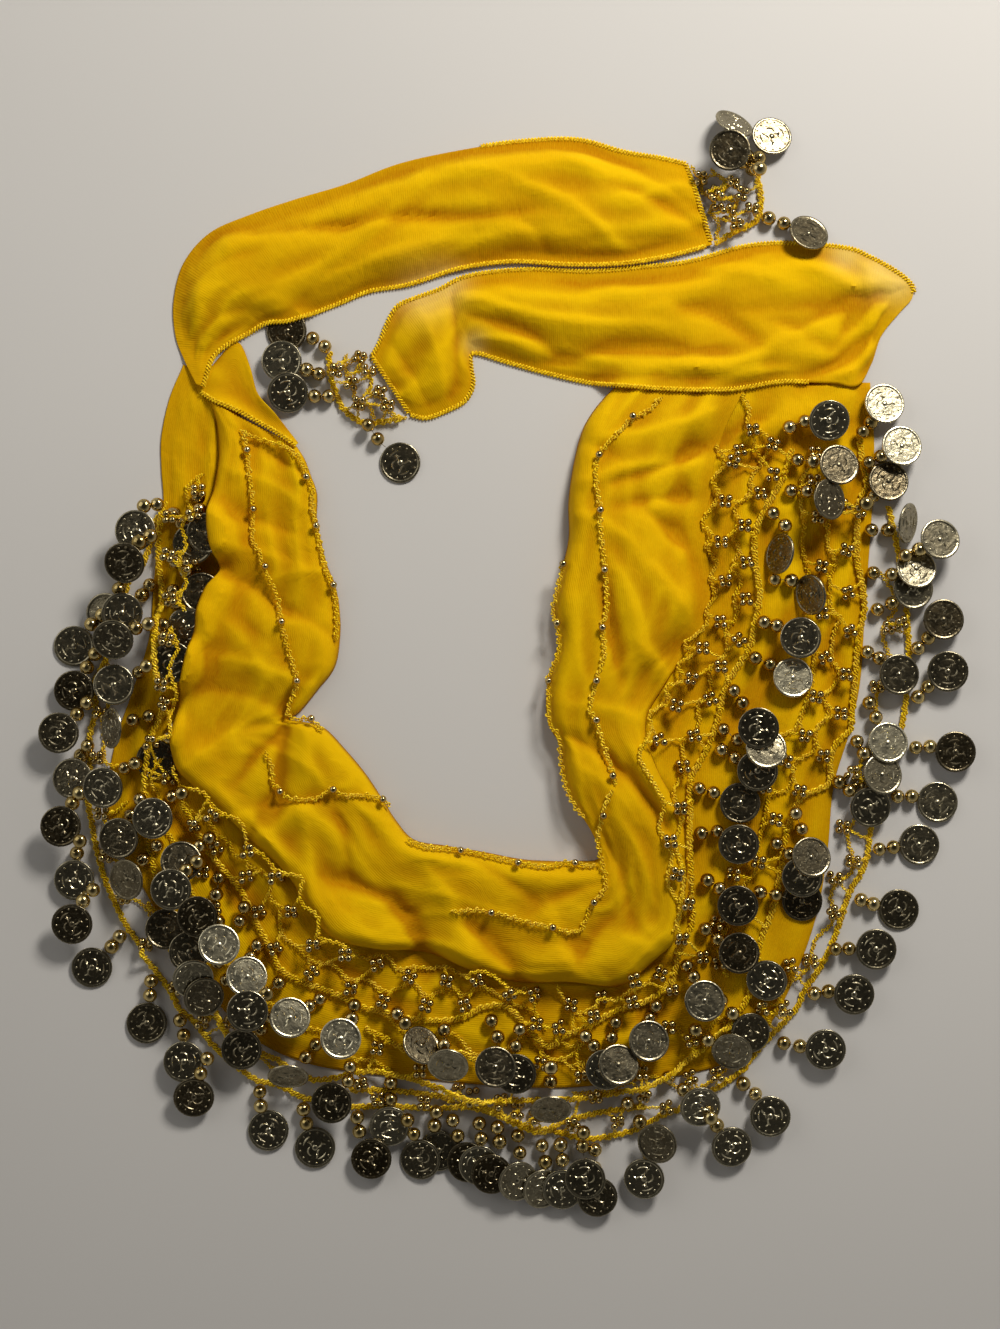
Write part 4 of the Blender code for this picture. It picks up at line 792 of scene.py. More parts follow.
class Cloth:
    """One stretch of cloth: its grid of points, and the piece made from them."""

    def __init__(
        self, name, rows, ground, step, outer, inner, crumple, nodes, look, lying=False, ribs_across=False
    ):
        plan = np.array(rows)
        middle = (plan[:, :2] + plan[:, 2:4]) / 2
        wide = np.linalg.norm(plan[:, :2] - plan[:, 2:4], axis=1)
        cuts = smooth_rows(rows, int(path_lengths(middle)[-1] / step) + 1)
        even = np.linspace(0, 1, int(wide.mean() / step) + 2)
        across = 0.65 * even + 0.35 * (1 - np.cos(math.pi * even)) / 2
        self.x = cuts[:, 0:1] + (cuts[:, 2:3] - cuts[:, 0:1]) * across
        self.y = cuts[:, 1:2] + (cuts[:, 3:4] - cuts[:, 1:2]) * across
        width = np.hypot(cuts[:, 2] - cuts[:, 0], cuts[:, 3] - cuts[:, 1])[:, None]
        lift = cuts[:, 4:5] * outer(across * width, self.x, self.y)
        lift = lift * inner((1 - across) * width, self.x, self.y)
        base = np.maximum(
            sample(ground.draped(DRAPE_REACH, DRAPE_BLUR), self.x, self.y),
            sample(ground.raised(TOUCH_REACH), self.x, self.y),
        )
        share = np.clip(lift / (2.2 if inner is hem_edge else 5), 0, 1)
        pleats = 0.9 - 1.3 * np.abs(noise_field(len(rows), 75 / step, 15 / step, self.x.shape))
        wrinkles = 0.9 - 1.3 * np.abs(noise_field(len(rows) + 1, 26 / step, 8 / step, self.x.shape))
        texture = 0.45 * sample(WAVES, self.x, self.y) + 0.3 * sample(CRUMPLE, self.x, self.y)
        texture += 0.75 * pleats + 0.3 * wrinkles
        folded = crease_height(self.x, self.y) + crumple * texture
        shaped = np.maximum(lift + folded * share, 0.3 * lift)
        if lying:
            shaped = np.maximum(lift * 0.6 + (folded + 0.5) * ease(across * width, LYING_ROLL), 0)
        self.z = base + CLEARANCE + CLOTH_THICKNESS + shaped
        hem = np.ones_like(self.x)
        for x, y, reach in THIN_SPOTS:
            hem *= 1 - 0.95 * np.exp(-(((self.x - x) ** 2 + (self.y - y) ** 2) / reach**2))
        self.piece = self.make(name, look, hem, ribs_across)
        stand_in(self.piece, nodes)
        ground.add_sheet(self.x, self.y, self.z)

    def make(self, name, look, hem, ribs_across):
        rows, columns = self.x.shape
        points = world(self.x, self.y, self.z).reshape(-1, 3)
        first = Vector(points[columns] - points[0]).cross(Vector(points[1] - points[0]))
        mesh = bpy.data.meshes.new(name)
        mesh.from_pydata(points, [], grid_faces(rows, columns, flip=first.z < 0))
        # Painted shade: how far each point lies below the mean height around it; the material darkens the
        # cloth there.
        hollow_shade_grid = np.clip((self.z - box_mean(self.z, HOLLOW_REACH)) / HOLLOW_DEPTH, -1, 1)
        self.attribute(mesh, "hollow_shade", hollow_shade_grid)
        self.attribute(mesh, "layers", hem)
        grid = points.reshape(rows, columns, 3)
        along = np.cumsum(np.linalg.norm(np.diff(grid, axis=0, prepend=grid[:1]), axis=2).mean(axis=1))
        over = np.cumsum(np.linalg.norm(np.diff(grid, axis=1, prepend=grid[:, :1]), axis=2), axis=1)
        uv = np.stack(np.broadcast_arrays(along[:, None], over), -1).reshape(-1, 2)
        uv = uv[:, ::-1] if ribs_across else uv
        corner = np.empty(len(mesh.loops), int)
        mesh.loops.foreach_get("vertex_index", corner)
        mesh.uv_layers.new(name="cloth").data.foreach_set("uv", uv[corner].ravel())
        piece = finish_mesh(name, mesh, look)
        shell = piece.modifiers.new("Shell", "SOLIDIFY")
        shell.thickness = CLOTH_THICKNESS * MM
        shell.offset = -1
        self.flat = measure(grid)
        return piece

    def attribute(self, mesh, name, grid):
        mesh.attributes.new(name, "FLOAT", "POINT").data.foreach_set("value", grid.ravel())

    def edge(self, side):
        """The points along the outer or the inner edge, or along the first or the last cut."""
        pick = {"outer": np.s_[:, 0], "inner": np.s_[:, -1], "first": np.s_[0, :], "last": np.s_[-1, :]}[side]
        return np.stack([self.x[pick], self.y[pick], self.z[pick]], 1)


def measure(grid):
    """Length along the middle, longest way across and area of a grid of points, as the cloth would be cut."""
    length = np.median(np.linalg.norm(np.diff(grid, axis=0), axis=2).sum(axis=0))
    width = np.linalg.norm(np.diff(grid, axis=1), axis=2).sum(axis=1).max()
    one, two = grid[1:, 1:] - grid[:-1, :-1], grid[1:, :-1] - grid[:-1, 1:]
    area = np.linalg.norm(np.cross(one, two), axis=2).sum() / 2
    return length, width, min(area, length * width)


def fold_edge(distance, x, y):
    return roll(distance, FOLD_ROLL)


def hem_edge(distance, x, y):
    return ease(distance, HEM_ROLL)


def body_edge(distance, x, y):
    """A fold that goes over into cloth lying level at the upper right, where the two are one layer."""
    level = ease(y - 225, 60) * (x > 200)
    return (1 - level) * roll(distance, FOLD_ROLL) + level * ease(distance, 30)


# ---------------------------------------------------------------- cord


def twisted(points, radius, strands, pitch, sides=4, apart=0.72, flat=0.8):
    """Strands twisted round each other along a line of points."""
    tangent = np.gradient(points, axis=0)
    tangent /= np.linalg.norm(tangent, axis=1)[:, None]
    side = np.cross(tangent, (0, 0, 1.0))
    side /= np.linalg.norm(side, axis=1)[:, None]
    up = np.cross(side, tangent)
    turn = path_lengths(points) / pitch * math.tau
    rings, count = np.arange(sides) / sides * math.tau, len(points)
    ring = np.cos(rings)[:, None, None] * side + flat * np.sin(rings)[:, None, None] * up
    ring *= radius * (1.05 - apart * 0.8)
    for strand in range(strands):
        phase = (turn + strand / strands * math.tau)[:, None]
        centre = points + radius * apart * (np.cos(phase) * side + flat * np.sin(phase) * up)
        grid = (centre + ring).transpose(1, 0, 2).reshape(-1, 3)
        i, j = np.meshgrid(np.arange(count - 1), np.arange(sides), indexing="ij")
        first, after = (i * sides + j).ravel(), (i * sides + (j + 1) % sides).ravel()
        faces = np.stack([first, after, after + sides, first + sides], 1).tolist()
        yield grid, faces + [list(range(sides))[::-1], [(count - 1) * sides + k for k in range(sides)]]


def lay_cord(heap, ground, points, radius, strands=2, spacing=0.5, pitch=CHAIN_PITCH, wobble=0.3):
    """A crocheted cord that lies on whatever is below it, bridging small gaps."""
    plan = even_route(points, spacing)
    along = path_lengths(plan)
    tangent = np.gradient(plan, axis=0)
    tangent /= np.linalg.norm(tangent, axis=1)[:, None]
    sway = wobble * (np.sin(along * math.tau / 3.7) + 0.6 * np.sin(along * math.tau / 6.1 + radius))
    plan = plan + np.column_stack([-tangent[:, 1], tangent[:, 0]]) * sway[:, None]
    height = sample(ground.raised(radius + 0.6), plan[:, 0], plan[:, 1]) + radius + 0.1
    reach = max(1, int(3 / spacing))
    padded = np.pad(height, reach, mode="edge")
    highest = np.max([padded[k:k + len(height)] for k in range(2 * reach + 1)], axis=0)
    padded = np.pad(highest, reach, mode="edge")
    height = np.mean([padded[k:k + len(height)] for k in range(2 * reach + 1)], axis=0)
    line = np.column_stack([plan, height])
    for grid, faces in twisted(line, radius, strands, pitch):
        heap.add(grid, faces)
    ground.add(plan[:, 0], plan[:, 1], height + radius * 0.8)


# ---------------------------------------------------------------- beads and coins


def bead_shape(segments, rings):
    bm = bmesh.new()
    bmesh.ops.create_uvsphere(bm, u_segments=segments, v_segments=rings, radius=1)
    return from_bmesh(bm)


def turned(profile, segments):
    """A closed shape turned round the z axis from radius and height pairs, its ends on the axis."""
    angles = np.arange(segments) / segments * math.tau
    circle = np.column_stack([np.cos(angles), np.sin(angles), np.zeros(segments)])
    rings = [radius * circle + (0, 0, height) for radius, height in profile[1:-1]]
    points = np.vstack([[(0, 0, profile[0][1])], *rings, [(0, 0, profile[-1][1])]])
    faces = []
    for k in range(segments):
        after = (k + 1) % segments
        faces.append((0, 1 + k, 1 + after))
        for ring in range(len(rings) - 1):
            low, high = 1 + ring * segments, 1 + (ring + 1) * segments
            faces.append((low + k, high + k, high + after, low + after))
        last = 1 + (len(rings) - 1) * segments
        faces.append((last + k, len(points) - 1, last + after))
    return points, faces


# The generic pattern on a coin: each arc's middle, radius, start and sweep, the last two in radians.
COIN_ARCS = (
    (0, 0, 5.9, 0.3, 1.0), (0, 0, 5.8, 3.3, 0.9), (-1.6, 1.2, 2.5, 0.5, 2.2), (2.1, -1.3, 2.1, 2.6, 2.4),
    (1.3, 3.2, 1.5, 4.2, 2.3), (-2.6, -2.6, 1.6, 0.2, 2.1), (4.0, 1.6, 1.2, 1.8, 2.4),
    (-4.2, 0.6, 1.3, 3.6, 2.1), (0.2, -4.2, 1.4, 5.4, 2.3),
)
ARC_POINTS = 9
COIN_DOTS = 13
DOT_RING = 7.55


def coin_shape():
    """A stamped blank: raised rim, a ring of dots, and arcs round a boss."""
    half = COIN_THICKNESS / 2
    field, rim, edge = half - 0.28, COIN_RADIUS - 1.0, COIN_RADIUS - 0.2
    profile = [(0, field), (rim - 0.6, field), (rim - 0.4, field), (rim, half), (edge, half)]
    profile += [(COIN_RADIUS, half - 0.2), (COIN_RADIUS, 0.2 - half), (edge, -half), (rim, -half), (0, -half)]
    heap = Heap()
    blank, faces = turned(profile, 32)
    heap.add(blank, faces, np.hypot(blank[:, 0], blank[:, 1]) > rim - 0.1)
    dot, dot_faces = turned([(0, 0.4), (0.4, 0.28), (0.62, -0.05), (0, -0.06)], 7)
    for k in range(COIN_DOTS):
        angle = (k + 0.5) / COIN_DOTS * math.tau
        heap.add(dot + (DOT_RING * math.cos(angle), DOT_RING * math.sin(angle), field), dot_faces, 1.0)
    boss, faces = turned([(0, 0.5), (0.9, 0.42), (1.5, -0.05), (0, -0.06)], 12)
    heap.add(boss + (0, 0, field), faces, 1.0)
    for x, y, radius, start, sweep in COIN_ARCS:
        angles = start + np.linspace(0, sweep, ARC_POINTS)
        out = np.column_stack([np.cos(angles), np.sin(angles), np.zeros(ARC_POINTS)])
        thick = 0.45 * np.sin(np.linspace(0.3, math.pi - 0.3, ARC_POINTS))[:, None]
        line = radius * out + (x, y, field)
        top = line + (0, 0, 0.8) * thick
        ring = [line + out * thick, top, line - out * thick, line - (0, 0, 0.1)]
        faces = [
            (4 * i + j, 4 * i + (j + 1) % 4, 4 * i + 4 + (j + 1) % 4, 4 * i + 4 + j)
            for i in range(ARC_POINTS - 1) for j in range(4)
        ]
        heap.add(np.stack(ring, 1).reshape(-1, 3), faces, 1.0)
    return np.concatenate(heap.points), heap.faces, np.concatenate(heap.values)


LARGE = bead_shape(18, 11)
SMALL = bead_shape(9, 6)
COIN = coin_shape()


def resting_height(ground, x, y, radius):
    """How high the middle of a ball lies on the ground."""
    gx, gy, height = ground.window(x, y, radius * 0.96)
    return (height + np.sqrt(radius**2 - (gx - x) ** 2 - (gy - y) ** 2)).max() + 0.05


def lay_bead(heap, ground, x, y, radius, shape, value=0.0):
    points, faces = shape
    z = resting_height(ground, x, y, radius)
    heap.add(points * (radius, radius, radius * 0.96) + (x, y, z), faces, value)
    gx, gy, _ = ground.window(x, y, radius * 0.9)
    ground.add(gx, gy, z + np.sqrt(radius**2 - (gx - x) ** 2 - (gy - y) ** 2))


def lean_of(drop, ground, rng):
    """The slope of a coin's face along x and along y: its own, or the ground's with a little unevenness."""
    if drop.tilt:
        slope, way = math.tan(math.radians(drop.tilt)), math.radians(drop.towards)
        return -slope * math.cos(way), -slope * math.sin(way)
    gx, gy, height = ground.window(drop.coin_x, drop.coin_y, COIN_RADIUS)
    columns = np.column_stack([gx - drop.coin_x, gy - drop.coin_y, np.ones(len(gx))])
    fit = np.linalg.lstsq(columns, height, rcond=None)[0][:2]
    fit = np.clip(fit * 1.2, -0.3, 0.3) + rng.normal(0, 0.045, 2)
    return fit[0], fit[1]


def lay_coin(heap, ground, drop, rng):
    a, b = lean_of(drop, ground, rng)
    normal = Vector((-a, -b, 1)).normalized()
    flat = Vector((0, 0, 1)).rotation_difference(normal).to_matrix()
    spin = rng.uniform(0, math.tau)
    shape, faces, raised = COIN
    cos, sin = math.cos(spin), math.sin(spin)
    spun = shape @ np.array([[cos, sin, 0], [-sin, cos, 0], [0, 0, 1]])
    points = spun @ np.array(flat).T
    gx, gy, height = ground.window(drop.coin_x, drop.coin_y, COIN_RADIUS)
    dx, dy = gx - drop.coin_x, gy - drop.coin_y
    under = (dx * normal.x + dy * normal.y) / normal.z
    inside = dx**2 + dy**2 + under**2 <= (COIN_RADIUS * 1.02) ** 2
    z = (height + under)[inside].max() + COIN_THICKNESS / 2 / normal.z + 0.05
    # Painted light: a coin with a lit tilt gets a pale lit tint, the others a random darker tone. Raised work
    # is brighter: rubbed wear, plus painted glint on the lit coins.
    tone_and_lit_tint = LIT_TINT if (drop.tilt, drop.towards) in (LIT, GLEAM) else rng.uniform(0, UNLIT_TONE)
    heap.add(points + (drop.coin_x, drop.coin_y, z), faces, tone_and_lit_tint + (0.07 + 0.25 * tone_and_lit_tint) * raised)
    ground.add(gx[inside], gy[inside], (z - under + COIN_THICKNESS / 2 / normal.z)[inside])


def lay_drops(group, drops, ground, rng, looks, nodes):
    coins, beads, threads = Heap(), Heap(), Heap()
    for drop in drops:
        for x, y in ((drop.far_x, drop.far_y), (drop.near_x, drop.near_y)):
            lay_bead(beads, ground, x, y, LARGE_BEAD * rng.uniform(0.96, 1.06), LARGE, rng.uniform(0, 1))
        lay_coin(coins, ground, drop, rng)
    for drop in drops:
        ends = [(drop.far_x, drop.far_y), (drop.near_x, drop.near_y)]
        line = np.array([(*end, 0.0) for end in ends])
        toward = np.array([drop.coin_x, drop.coin_y, 0.0])
        line = np.vstack([line, line[-1] + (toward - line[-1]) * 0.35])
        lay_thread(threads, line, beads, ends)
    stand_in(coins.make("coins_" + group, looks["coin"]), nodes)
    stand_in(beads.make("beads_" + group, looks["bead"]), [])
    stand_in(threads.make("threads_" + group, looks["thread"]), [])


def lay_thread(heap, line, beads, ends):
    """The thread through a drop's beads, as high as their middles."""
    places = {(round(p[:, 0].mean(), 1), round(p[:, 1].mean(), 1)): p[:, 2].mean() for p in beads.points}
    heights = [places.get((round(x, 1), round(y, 1)), 2.0) for x, y in ends]
    line[:, 2] = heights + [heights[-1]]
    plan = smooth_rows(line, 10)
    for grid, faces in twisted(plan, THREAD, 1, THREAD_PITCH):
        heap.add(grid, faces)


# ---------------------------------------------------------------- materials


class Look:
    """A material and short ways to add its nodes."""

    def __init__(self, name):
        self.material = bpy.data.materials.new(name)
        self.material.use_nodes = True
        self.tree = self.material.node_tree
        self.shader = self.tree.nodes["Principled BSDF"]
        self.output = self.tree.nodes["Material Output"]

    def node(self, kind, settings=None, **inputs):
        made = self.tree.nodes.new("ShaderNode" + kind)
        for name, value in (settings or {}).items():
            setattr(made, name, value)
        for name, value in inputs.items():
            self.put(made, name.replace("_", " "), value)
        return made

    def put(self, node, name, value):
        socket = node.inputs[int(name[1:])] if name[0] == "#" else node.inputs[name]
        if isinstance(value, bpy.types.NodeSocket):
            self.tree.links.new(value, socket)
        else:
            socket.default_value = value

    def surface(self, **inputs):
        for name, value in inputs.items():
            self.put(self.shader, name.replace("_", " "), value)

    def attribute(self, name):
        return self.node("Attribute", {"attribute_name": name}).outputs["Fac"]

    def sum(self, operation, one, two):
        made = self.node("Math", {"operation": operation})
        self.put(made, "#0", one)
        self.put(made, "#1", two)
        return made.outputs[0]

    def mix(self, share, one, two):
        made = self.node("MixRGB", Fac=share, Color1=one, Color2=two)
        return made.outputs[0]

    def noise(self, scale, detail=2.0, vector=None):
        made = self.node("TexNoise", Scale=scale, Detail=detail)
        if vector is None:
            vector = self.node("TexCoord").outputs["Object"]
        self.put(made, "Vector", vector)
        return made.outputs["Fac"]

    def spread(self, value, low, high, start=0.0, end=1.0):
        made = self.node("MapRange")
        sockets = ("Value", "From Min", "From Max", "To Min", "To Max")
        for name, number in zip(sockets, (value, low, high, start, end)):
            self.put(made, name, number)
        return made.outputs[0]

    def bump(self, height, distance, strength, below=None):
        made = self.node("Bump", Height=height, Distance=distance, Strength=strength)
        if below is not None:
            self.put(made, "Normal", below)
        return made.outputs[0]


def chiffon_look():
    """Ribbed yellow chiffon: painted shade darkens it in its hollows; paler in a single layer, a little
    see-through.
    """
    look = Look("chiffon")
    # Painted shade: the colour runs from dark orange-brown in the hollows to plain yellow on the rest.
    hollow_shade = look.spread(look.attribute("hollow_shade"), -0.75, 0.5)
    colour = look.mix(hollow_shade, (0.5, 0.19, 0.001, 1), (0.84, 0.51, 0.002, 1))
    patches = look.spread(look.noise(13.0, 1.2), 0.47, 0.53)
    colour = look.mix(look.sum("MULTIPLY", patches, 0.3), colour, (0.72, 0.35, 0.001, 1))
    colour = look.mix(look.spread(look.attribute("layers"), 0.0, 1.0, 0.7, 0.0), colour, (0.86, 0.66, 0.2, 1))
    uv = look.node("UVMap", {"uv_map": "cloth"}).outputs[0]
    parts = look.node("SeparateXYZ", Vector=uv)
    rib = look.sum("SINE", look.sum("MULTIPLY", parts.outputs["Y"], math.tau / (RIB_PITCH * MM)), 0.0)
    slub = look.noise(1.0, 2.0, look.node("Mapping", Vector=uv, Scale=(260.0, 1800.0, 1.0)).outputs[0])
    weave = look.bump(look.sum("ADD", look.sum("MULTIPLY", rib, 0.22), slub), 0.0003, 0.5)
    slanted = look.node("Mapping", Vector=uv, Rotation=(0, 0, 0.5), Scale=(38.0, 70.0, 1.0)).outputs[0]
    lines = look.sum("ABSOLUTE", look.sum("SUBTRACT", look.noise(1.0, 1.5, slanted), 0.5), 0.0)
    wrinkle = look.bump(look.spread(lines, 0.0, 0.1), 0.0009, 0.14, weave)
    crinkle = look.bump(look.noise(230.0, 4.0), 0.0008, 0.4, wrinkle)
    colour = look.mix(look.spread(slub, 0.3, 0.7, 0.0, 0.2), colour, (0.9, 0.62, 0.01, 1))
    colour = look.mix(look.spread(rib, -1.0, 1.0, 0.0, 0.14), colour, (0.55, 0.26, 0.001, 1))
    look.surface(Base_Color=colour, Roughness=0.78, Normal=crinkle, Sheen_Weight=0.05, Sheen_Roughness=0.5)
    look.surface(Sheen_Tint=(1.0, 0.7, 0.05, 1), Specular_Tint=(1.0, 0.72, 0.05, 1))
    look.put(look.shader, "Specular IOR Level", 0.15)
    through = look.node("BsdfTranslucent", Color=colour, Normal=crinkle)
    both = look.node("MixShader", Fac=0.22)
    look.put(both, "#1", look.shader.outputs[0])
    look.put(both, "#2", through.outputs[0])
    look.put(look.output, "Surface", both.outputs[0])
    return look.material


def hem_look():
    look = Look("hem_thread")
    fleck = look.noise(800.0, 2.0)
    colour = look.mix(look.spread(fleck, 0.35, 0.65), (0.55, 0.29, 0.002, 1), (0.98, 0.7, 0.02, 1))
    look.surface(Base_Color=colour, Roughness=0.8, Normal=look.bump(fleck, 0.0003, 0.5))
    look.surface(Specular_Tint=(1.0, 0.75, 0.05, 1))
    return look.material


def gold_look():
    """Lurex thread of flat metal strips; fine flecks of its colour are painted bright as glints and dark as
    shade between the strands.
    """
    look = Look("gold_lurex")
    fleck = look.noise(1500.0, 1.0)
    patch = look.noise(110.0, 2.0)
    # Painted glints and painted shade: fine flecks go bright gold or dark brown.
    colour = look.mix(look.spread(fleck, 0.35, 0.65), (0.55, 0.26, 0.001, 1), (1.0, 0.76, 0.015, 1))
    colour = look.mix(look.spread(patch, 0.4, 0.75, 0.0, 0.15), colour, (1.0, 0.86, 0.22, 1))
    look.surface(Base_Color=colour, Metallic=0.15, Specular_Tint=(1.0, 0.8, 0.2, 1))
    look.surface(Roughness=look.spread(fleck, 0.3, 0.7, 0.5, 0.28))
    look.surface(Normal=look.bump(fleck, 0.0004, 0.7))
    return look.material


def coin_look():
    """Antique brass, darkened in the field; its raised work is brighter, partly rubbed wear and partly
    painted glint, and coins turned to the light are painted paler.
    """
    look = Look("antique_coin")
    tint = look.attribute("tint")
    stain = look.noise(260.0, 4.0)
    # Painted light: the tint runs from dark brass to pale, and coins turned to the light carry a high tint.
    colour = look.mix(tint, (0.085, 0.062, 0.03, 1), (0.8, 0.73, 0.5, 1))
    colour = look.mix(look.spread(stain, 0.45, 0.75, 0.0, 0.6), colour, (0.06, 0.042, 0.018, 1))
    wear = look.spread(look.noise(900.0, 3.0), 0.56, 0.7, 0.0, 0.5)
    colour = look.mix(wear, colour, (0.5, 0.43, 0.27, 1))
    pits = look.bump(look.noise(700.0, 4.0), 0.0003, 0.35)
    strike = look.bump(look.noise(210.0, 3.0), 0.0008, 0.3, pits)
    look.surface(Base_Color=colour, Metallic=1.0, Normal=strike)
    look.surface(Roughness=look.spread(stain, 0.3, 0.7, 0.2, 0.36))
    return look.material


def bead_look():
    look = Look("pewter_bead")
    tint = look.attribute("tint")
    colour = look.mix(tint, (0.4, 0.29, 0.1, 1), (0.62, 0.49, 0.22, 1))
    scuff = look.noise(600.0, 3.0)
    colour = look.mix(look.spread(scuff, 0.5, 0.75, 0.0, 0.5), colour, (0.16, 0.13, 0.08, 1))
    look.surface(Base_Color=colour, Metallic=1.0, Roughness=look.spread(scuff, 0.3, 0.7, 0.1, 0.18))
    look.surface(Normal=look.bump(scuff, 0.0001, 0.3), Specular_Tint=(0.95, 0.8, 0.5, 1))
    return look.material


def thread_look():
    look = Look("dark_thread")
    fleck = look.noise(2000.0, 1.0)
    look.surface(Base_Color=look.mix(fleck, (0.05, 0.04, 0.02, 1), (0.2, 0.15, 0.06, 1)), Roughness=0.7)
    return look.material


def floor_look():
    look = Look("pale_floor")
    drift = look.noise(3.0, 2.0)
    look.surface(Base_Color=look.mix(drift, (0.53, 0.51, 0.475, 1), (0.565, 0.545, 0.51, 1)), Roughness=0.85)
    look.put(look.shader, "Specular IOR Level", 0.2)
    return look.material


# ---------------------------------------------------------------- camera, light and floor

VIEW_CENTRE = (226.25, 271.9)
VIEW_HEIGHT = 1.05
VIEW_TALL = 0.6565
SENSOR = 36.0


def stage_scene():
    bpy.context.scene.view_settings.view_transform = "Standard"
    place = world(*VIEW_CENTRE, 0)
    camera = bpy.data.objects.new("camera", bpy.data.cameras.new("camera"))
    camera.data.lens = SENSOR * VIEW_HEIGHT / VIEW_TALL
    camera.data.sensor_width = SENSOR
    camera.location = (place[0], place[1], VIEW_HEIGHT)
    bpy.context.scene.collection.objects.link(camera)
    bpy.context.scene.camera = camera
    bpy.ops.mesh.primitive_plane_add(size=4, location=(0, 0, 0))
    floor = bpy.context.object
    floor.name = "floor"
    floor.data.materials.append(floor_look())
    floor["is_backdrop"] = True
    soft_light("key", (0.48, 0.85, 0.8), 0.3, 16.0, (1.0, 0.97, 0.93))
    soft_light("fill", (-0.9, 0.5, 0.7), 0.9, 2.4, (1.0, 0.99, 0.97))
    sky = bpy.data.worlds.new("studio")
    bpy.context.scene.world = sky
    sky.use_nodes = True
    tree = sky.node_tree
    up = tree.nodes.new("ShaderNodeSeparateXYZ")
    tree.links.new(tree.nodes.new("ShaderNodeTexCoord").outputs["Generated"], up.inputs[0])
    ramp = tree.nodes.new("ShaderNodeValToRGB")
    tree.links.new(up.outputs["Z"], ramp.inputs[0])
    ramp.color_ramp.elements[0].color = (0.36, 0.35, 0.34, 1)
    ramp.color_ramp.elements[0].position = 0.35
    ramp.color_ramp.elements[1].color = (0.03, 0.03, 0.03, 1)
    ramp.color_ramp.elements[1].position = 0.9
    tree.links.new(ramp.outputs[0], tree.nodes["Background"].inputs["Color"])


def soft_light(name, place, size, power, colour):
    light = bpy.data.lights.new(name, "AREA")
    light.size, light.energy, light.color = size, power, colour
    lamp = bpy.data.objects.new(name, light)
    lamp.location = place
    lamp.rotation_euler = Vector(place).to_track_quat("Z", "Y").to_euler()
    bpy.context.scene.collection.objects.link(lamp)


# ---------------------------------------------------------------- the scarf


def links(middle, lines):
    """Short cords from a cluster to the nearest cords on each side of it."""
    found = []
    for line in lines:
        gaps = np.hypot(*(line - middle).T)
        nearest = gaps.argmin()
        if LINK_REACH[0] < gaps[nearest] < LINK_REACH[1]:
            for step in (-LINK_SPREAD, LINK_SPREAD):
                if 0 <= nearest + step < len(line):
                    end = line[nearest + step]
                    found.append((gaps[nearest], [middle, (end + middle) / 2, end]))
    return [link for _, link in sorted(found, key=lambda pair: pair[0])[:3]]


def lay_net(group, ground, rng, looks):
    cords, clusters = Heap(), Heap()
    for points in CHAINS.get(group, []):
        lay_cord(cords, ground, points, CHAIN_CORD)
    for points in MAIN_CORDS.get(group, []):
        lay_cord(cords, ground, points, MAIN_CORD, strands=3, pitch=MAIN_PITCH)
    lines = [even_route(points, 1.0) for points in CHAINS.get(group, []) + MAIN_CORDS.get(group, [])]
    for x, y in CLUSTERS.get(group, []):
        for link in links((x, y), lines):
            lay_cord(cords, ground, link, LINK_CORD, wobble=0.2)
        turn = math.tau / 8 + rng.normal(0, 0.25)
        for k in range(4):
            angle = turn + k * math.tau / 4 + rng.normal(0, 0.08)
            place = (x + CLUSTER_SPREAD * math.cos(angle), y + CLUSTER_SPREAD * math.sin(angle))
            lay_bead(clusters, ground, *place, SMALL_BEAD, SMALL, rng.uniform(0, 0.6))
    made = [stand_in(cords.make("cords_" + group, looks["gold"]), [group])]
    if clusters.count:
        made.append(stand_in(clusters.make("clusters_" + group, looks["bead"]), []))
    return made


def lay_hem(name, cloth, sides, ground, looks, reach):
    """Overlock thread over the edges, between two places along x."""
    heap = Heap()
    for side in sides:
        edge = cloth.edge(side)
        edge = even_route(edge[(edge[:, 0] >= reach[0]) & (edge[:, 0] <= reach[1])][::3], 0.55)
        edge[:, 2] += 0.2
        for grid, faces in twisted(edge, HEM_CORD, 2, HEM_PITCH, apart=0.66, flat=0.6):
            heap.add(grid, faces)
        ground.add(edge[:, 0], edge[:, 1], edge[:, 2] + HEM_CORD)
    return stand_in(heap.make(name, looks["hem"]), [])


def lay_braid(name, ground, looks, rng):
    heap = Heap()
    lay_cord(heap, ground, BRAIDS[name], BRAID_CORD, wobble=0.5)
    stand_in(heap.make("cord_" + name, looks["gold"]), [name])
    beads = Heap()
    for x, y in BRAID_BEADS[name]:
        lay_bead(beads, ground, x, y, SMALL_BEAD, SMALL, rng.uniform(0.3, 1))
    stand_in(beads.make("beads_" + name, looks["bead"]), [])


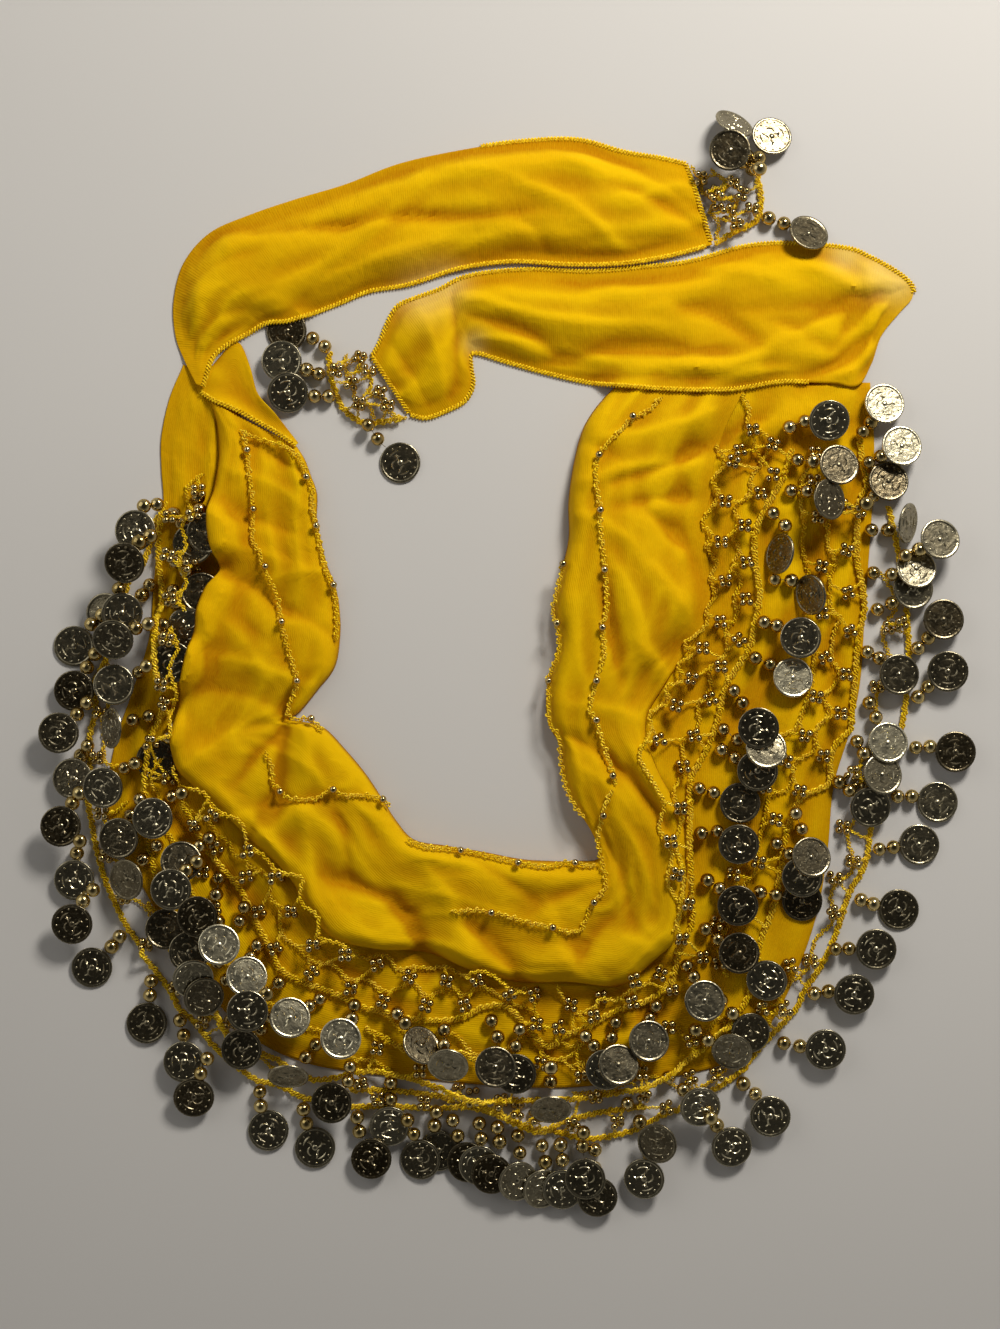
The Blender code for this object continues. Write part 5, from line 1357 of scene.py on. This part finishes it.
def main():
    looks = {
        "chiffon": chiffon_look(), "hem": hem_look(), "gold": gold_look(), "coin": coin_look(),
        "bead": bead_look(), "thread": thread_look(),
    }
    ground, rng = Ground(), np.random.default_rng(5)
    cloths, trims = {}, {}

    def lay(name, rows, outer, inner, crumple, step, nodes, lying=False, ribs_across=False):
        cloths[name] = Cloth(
            "cloth_" + name, rows, ground, step, outer, inner, crumple, nodes, looks["chiffon"],
            lying, ribs_across,
        )
        trims[name] = []

    def hem(name, *sides, part="", reach=(-math.inf, math.inf)):
        trims[name].append(lay_hem("hem_" + name + part, cloths[name], sides, ground, looks, reach))

    # The panel that carries the nets, and the coins half under the fold.
    lay(
        "body_under", BODY_UNDER, hem_edge, hem_edge, 1.1, UNDER_STEP,
        ["body_left_under", "body_bottom_under", "body_right_under"], lying=True,
    )
    lay_drops("tucked", TUCKED, ground, rng, looks, [])
    # The waist side, folded over.
    lay(
        "body_top", BODY_TOP, body_edge, fold_edge, 1.0, CLOTH_STEP,
        ["body_left_top", "folds_left", "body_bottom_top", "folds_bottom", "body_right_top", "folds_right"],
    )
    # Tie B and its coins, then tie A over them.
    lay(
        "tie_b", TIE_B, hem_edge, hem_edge, 0.9, CLOTH_STEP,
        ["tie_b", "folds_tie_b", "tie_b_end", "folds_tie_b_end", "tie_b_turn"], ribs_across=True,
    )
    hem("tie_b", "outer", "first", "last")
    hem("tie_b", "inner", part="_inner", reach=(-math.inf, 378))
    trims["tie_b"] += lay_net("net_tie_b", ground, rng, looks)
    lay_drops("tie_b", DROPS["tie_b_drops"], ground, rng, looks, [f"tie_b_drop_{n}" for n in (1, 2, 3, 4)])
    lay("tie_a_turn", TIE_A_TURN, fold_edge, hem_edge, 0.5, CLOTH_STEP, ["tie_a_turn"])
    hem("tie_a_turn", "inner")
    lay("tie_a", TIE_A, hem_edge, hem_edge, 0.9, CLOTH_STEP, ["tie_a", "folds_tie_a"], ribs_across=True)
    hem("tie_a", "inner", "last")
    hem("tie_a", "outer", part="_outer", reach=(215, math.inf))
    trims["tie_a"] += lay_net("net_tie_a", ground, rng, looks)
    lay_drops("tie_a", DROPS["tie_a_drops"], ground, rng, looks, [f"tie_a_drop_{n}" for n in (1, 2, 3)])
    # The rows of net from the hem up, each with its fringe.
    around = ("left", "bottom", "right")
    for row, sides in ((3, around), (2, around), (1, around[1:])):
        for side in sides:
            trims["body_under"] += lay_net(f"net_{row}_{side}", ground, rng, looks)
        for side in sides:
            group = f"fringe_{row}_{side}"
            lay_drops(group, DROPS[group], ground, rng, looks, [group])
    for name in BRAIDS:
        lay_braid(name, ground, looks, rng)
    for name, cloth in cloths.items():
        length, width, area = cloth.flat
        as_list(trims[name])
    stage_scene()


main()
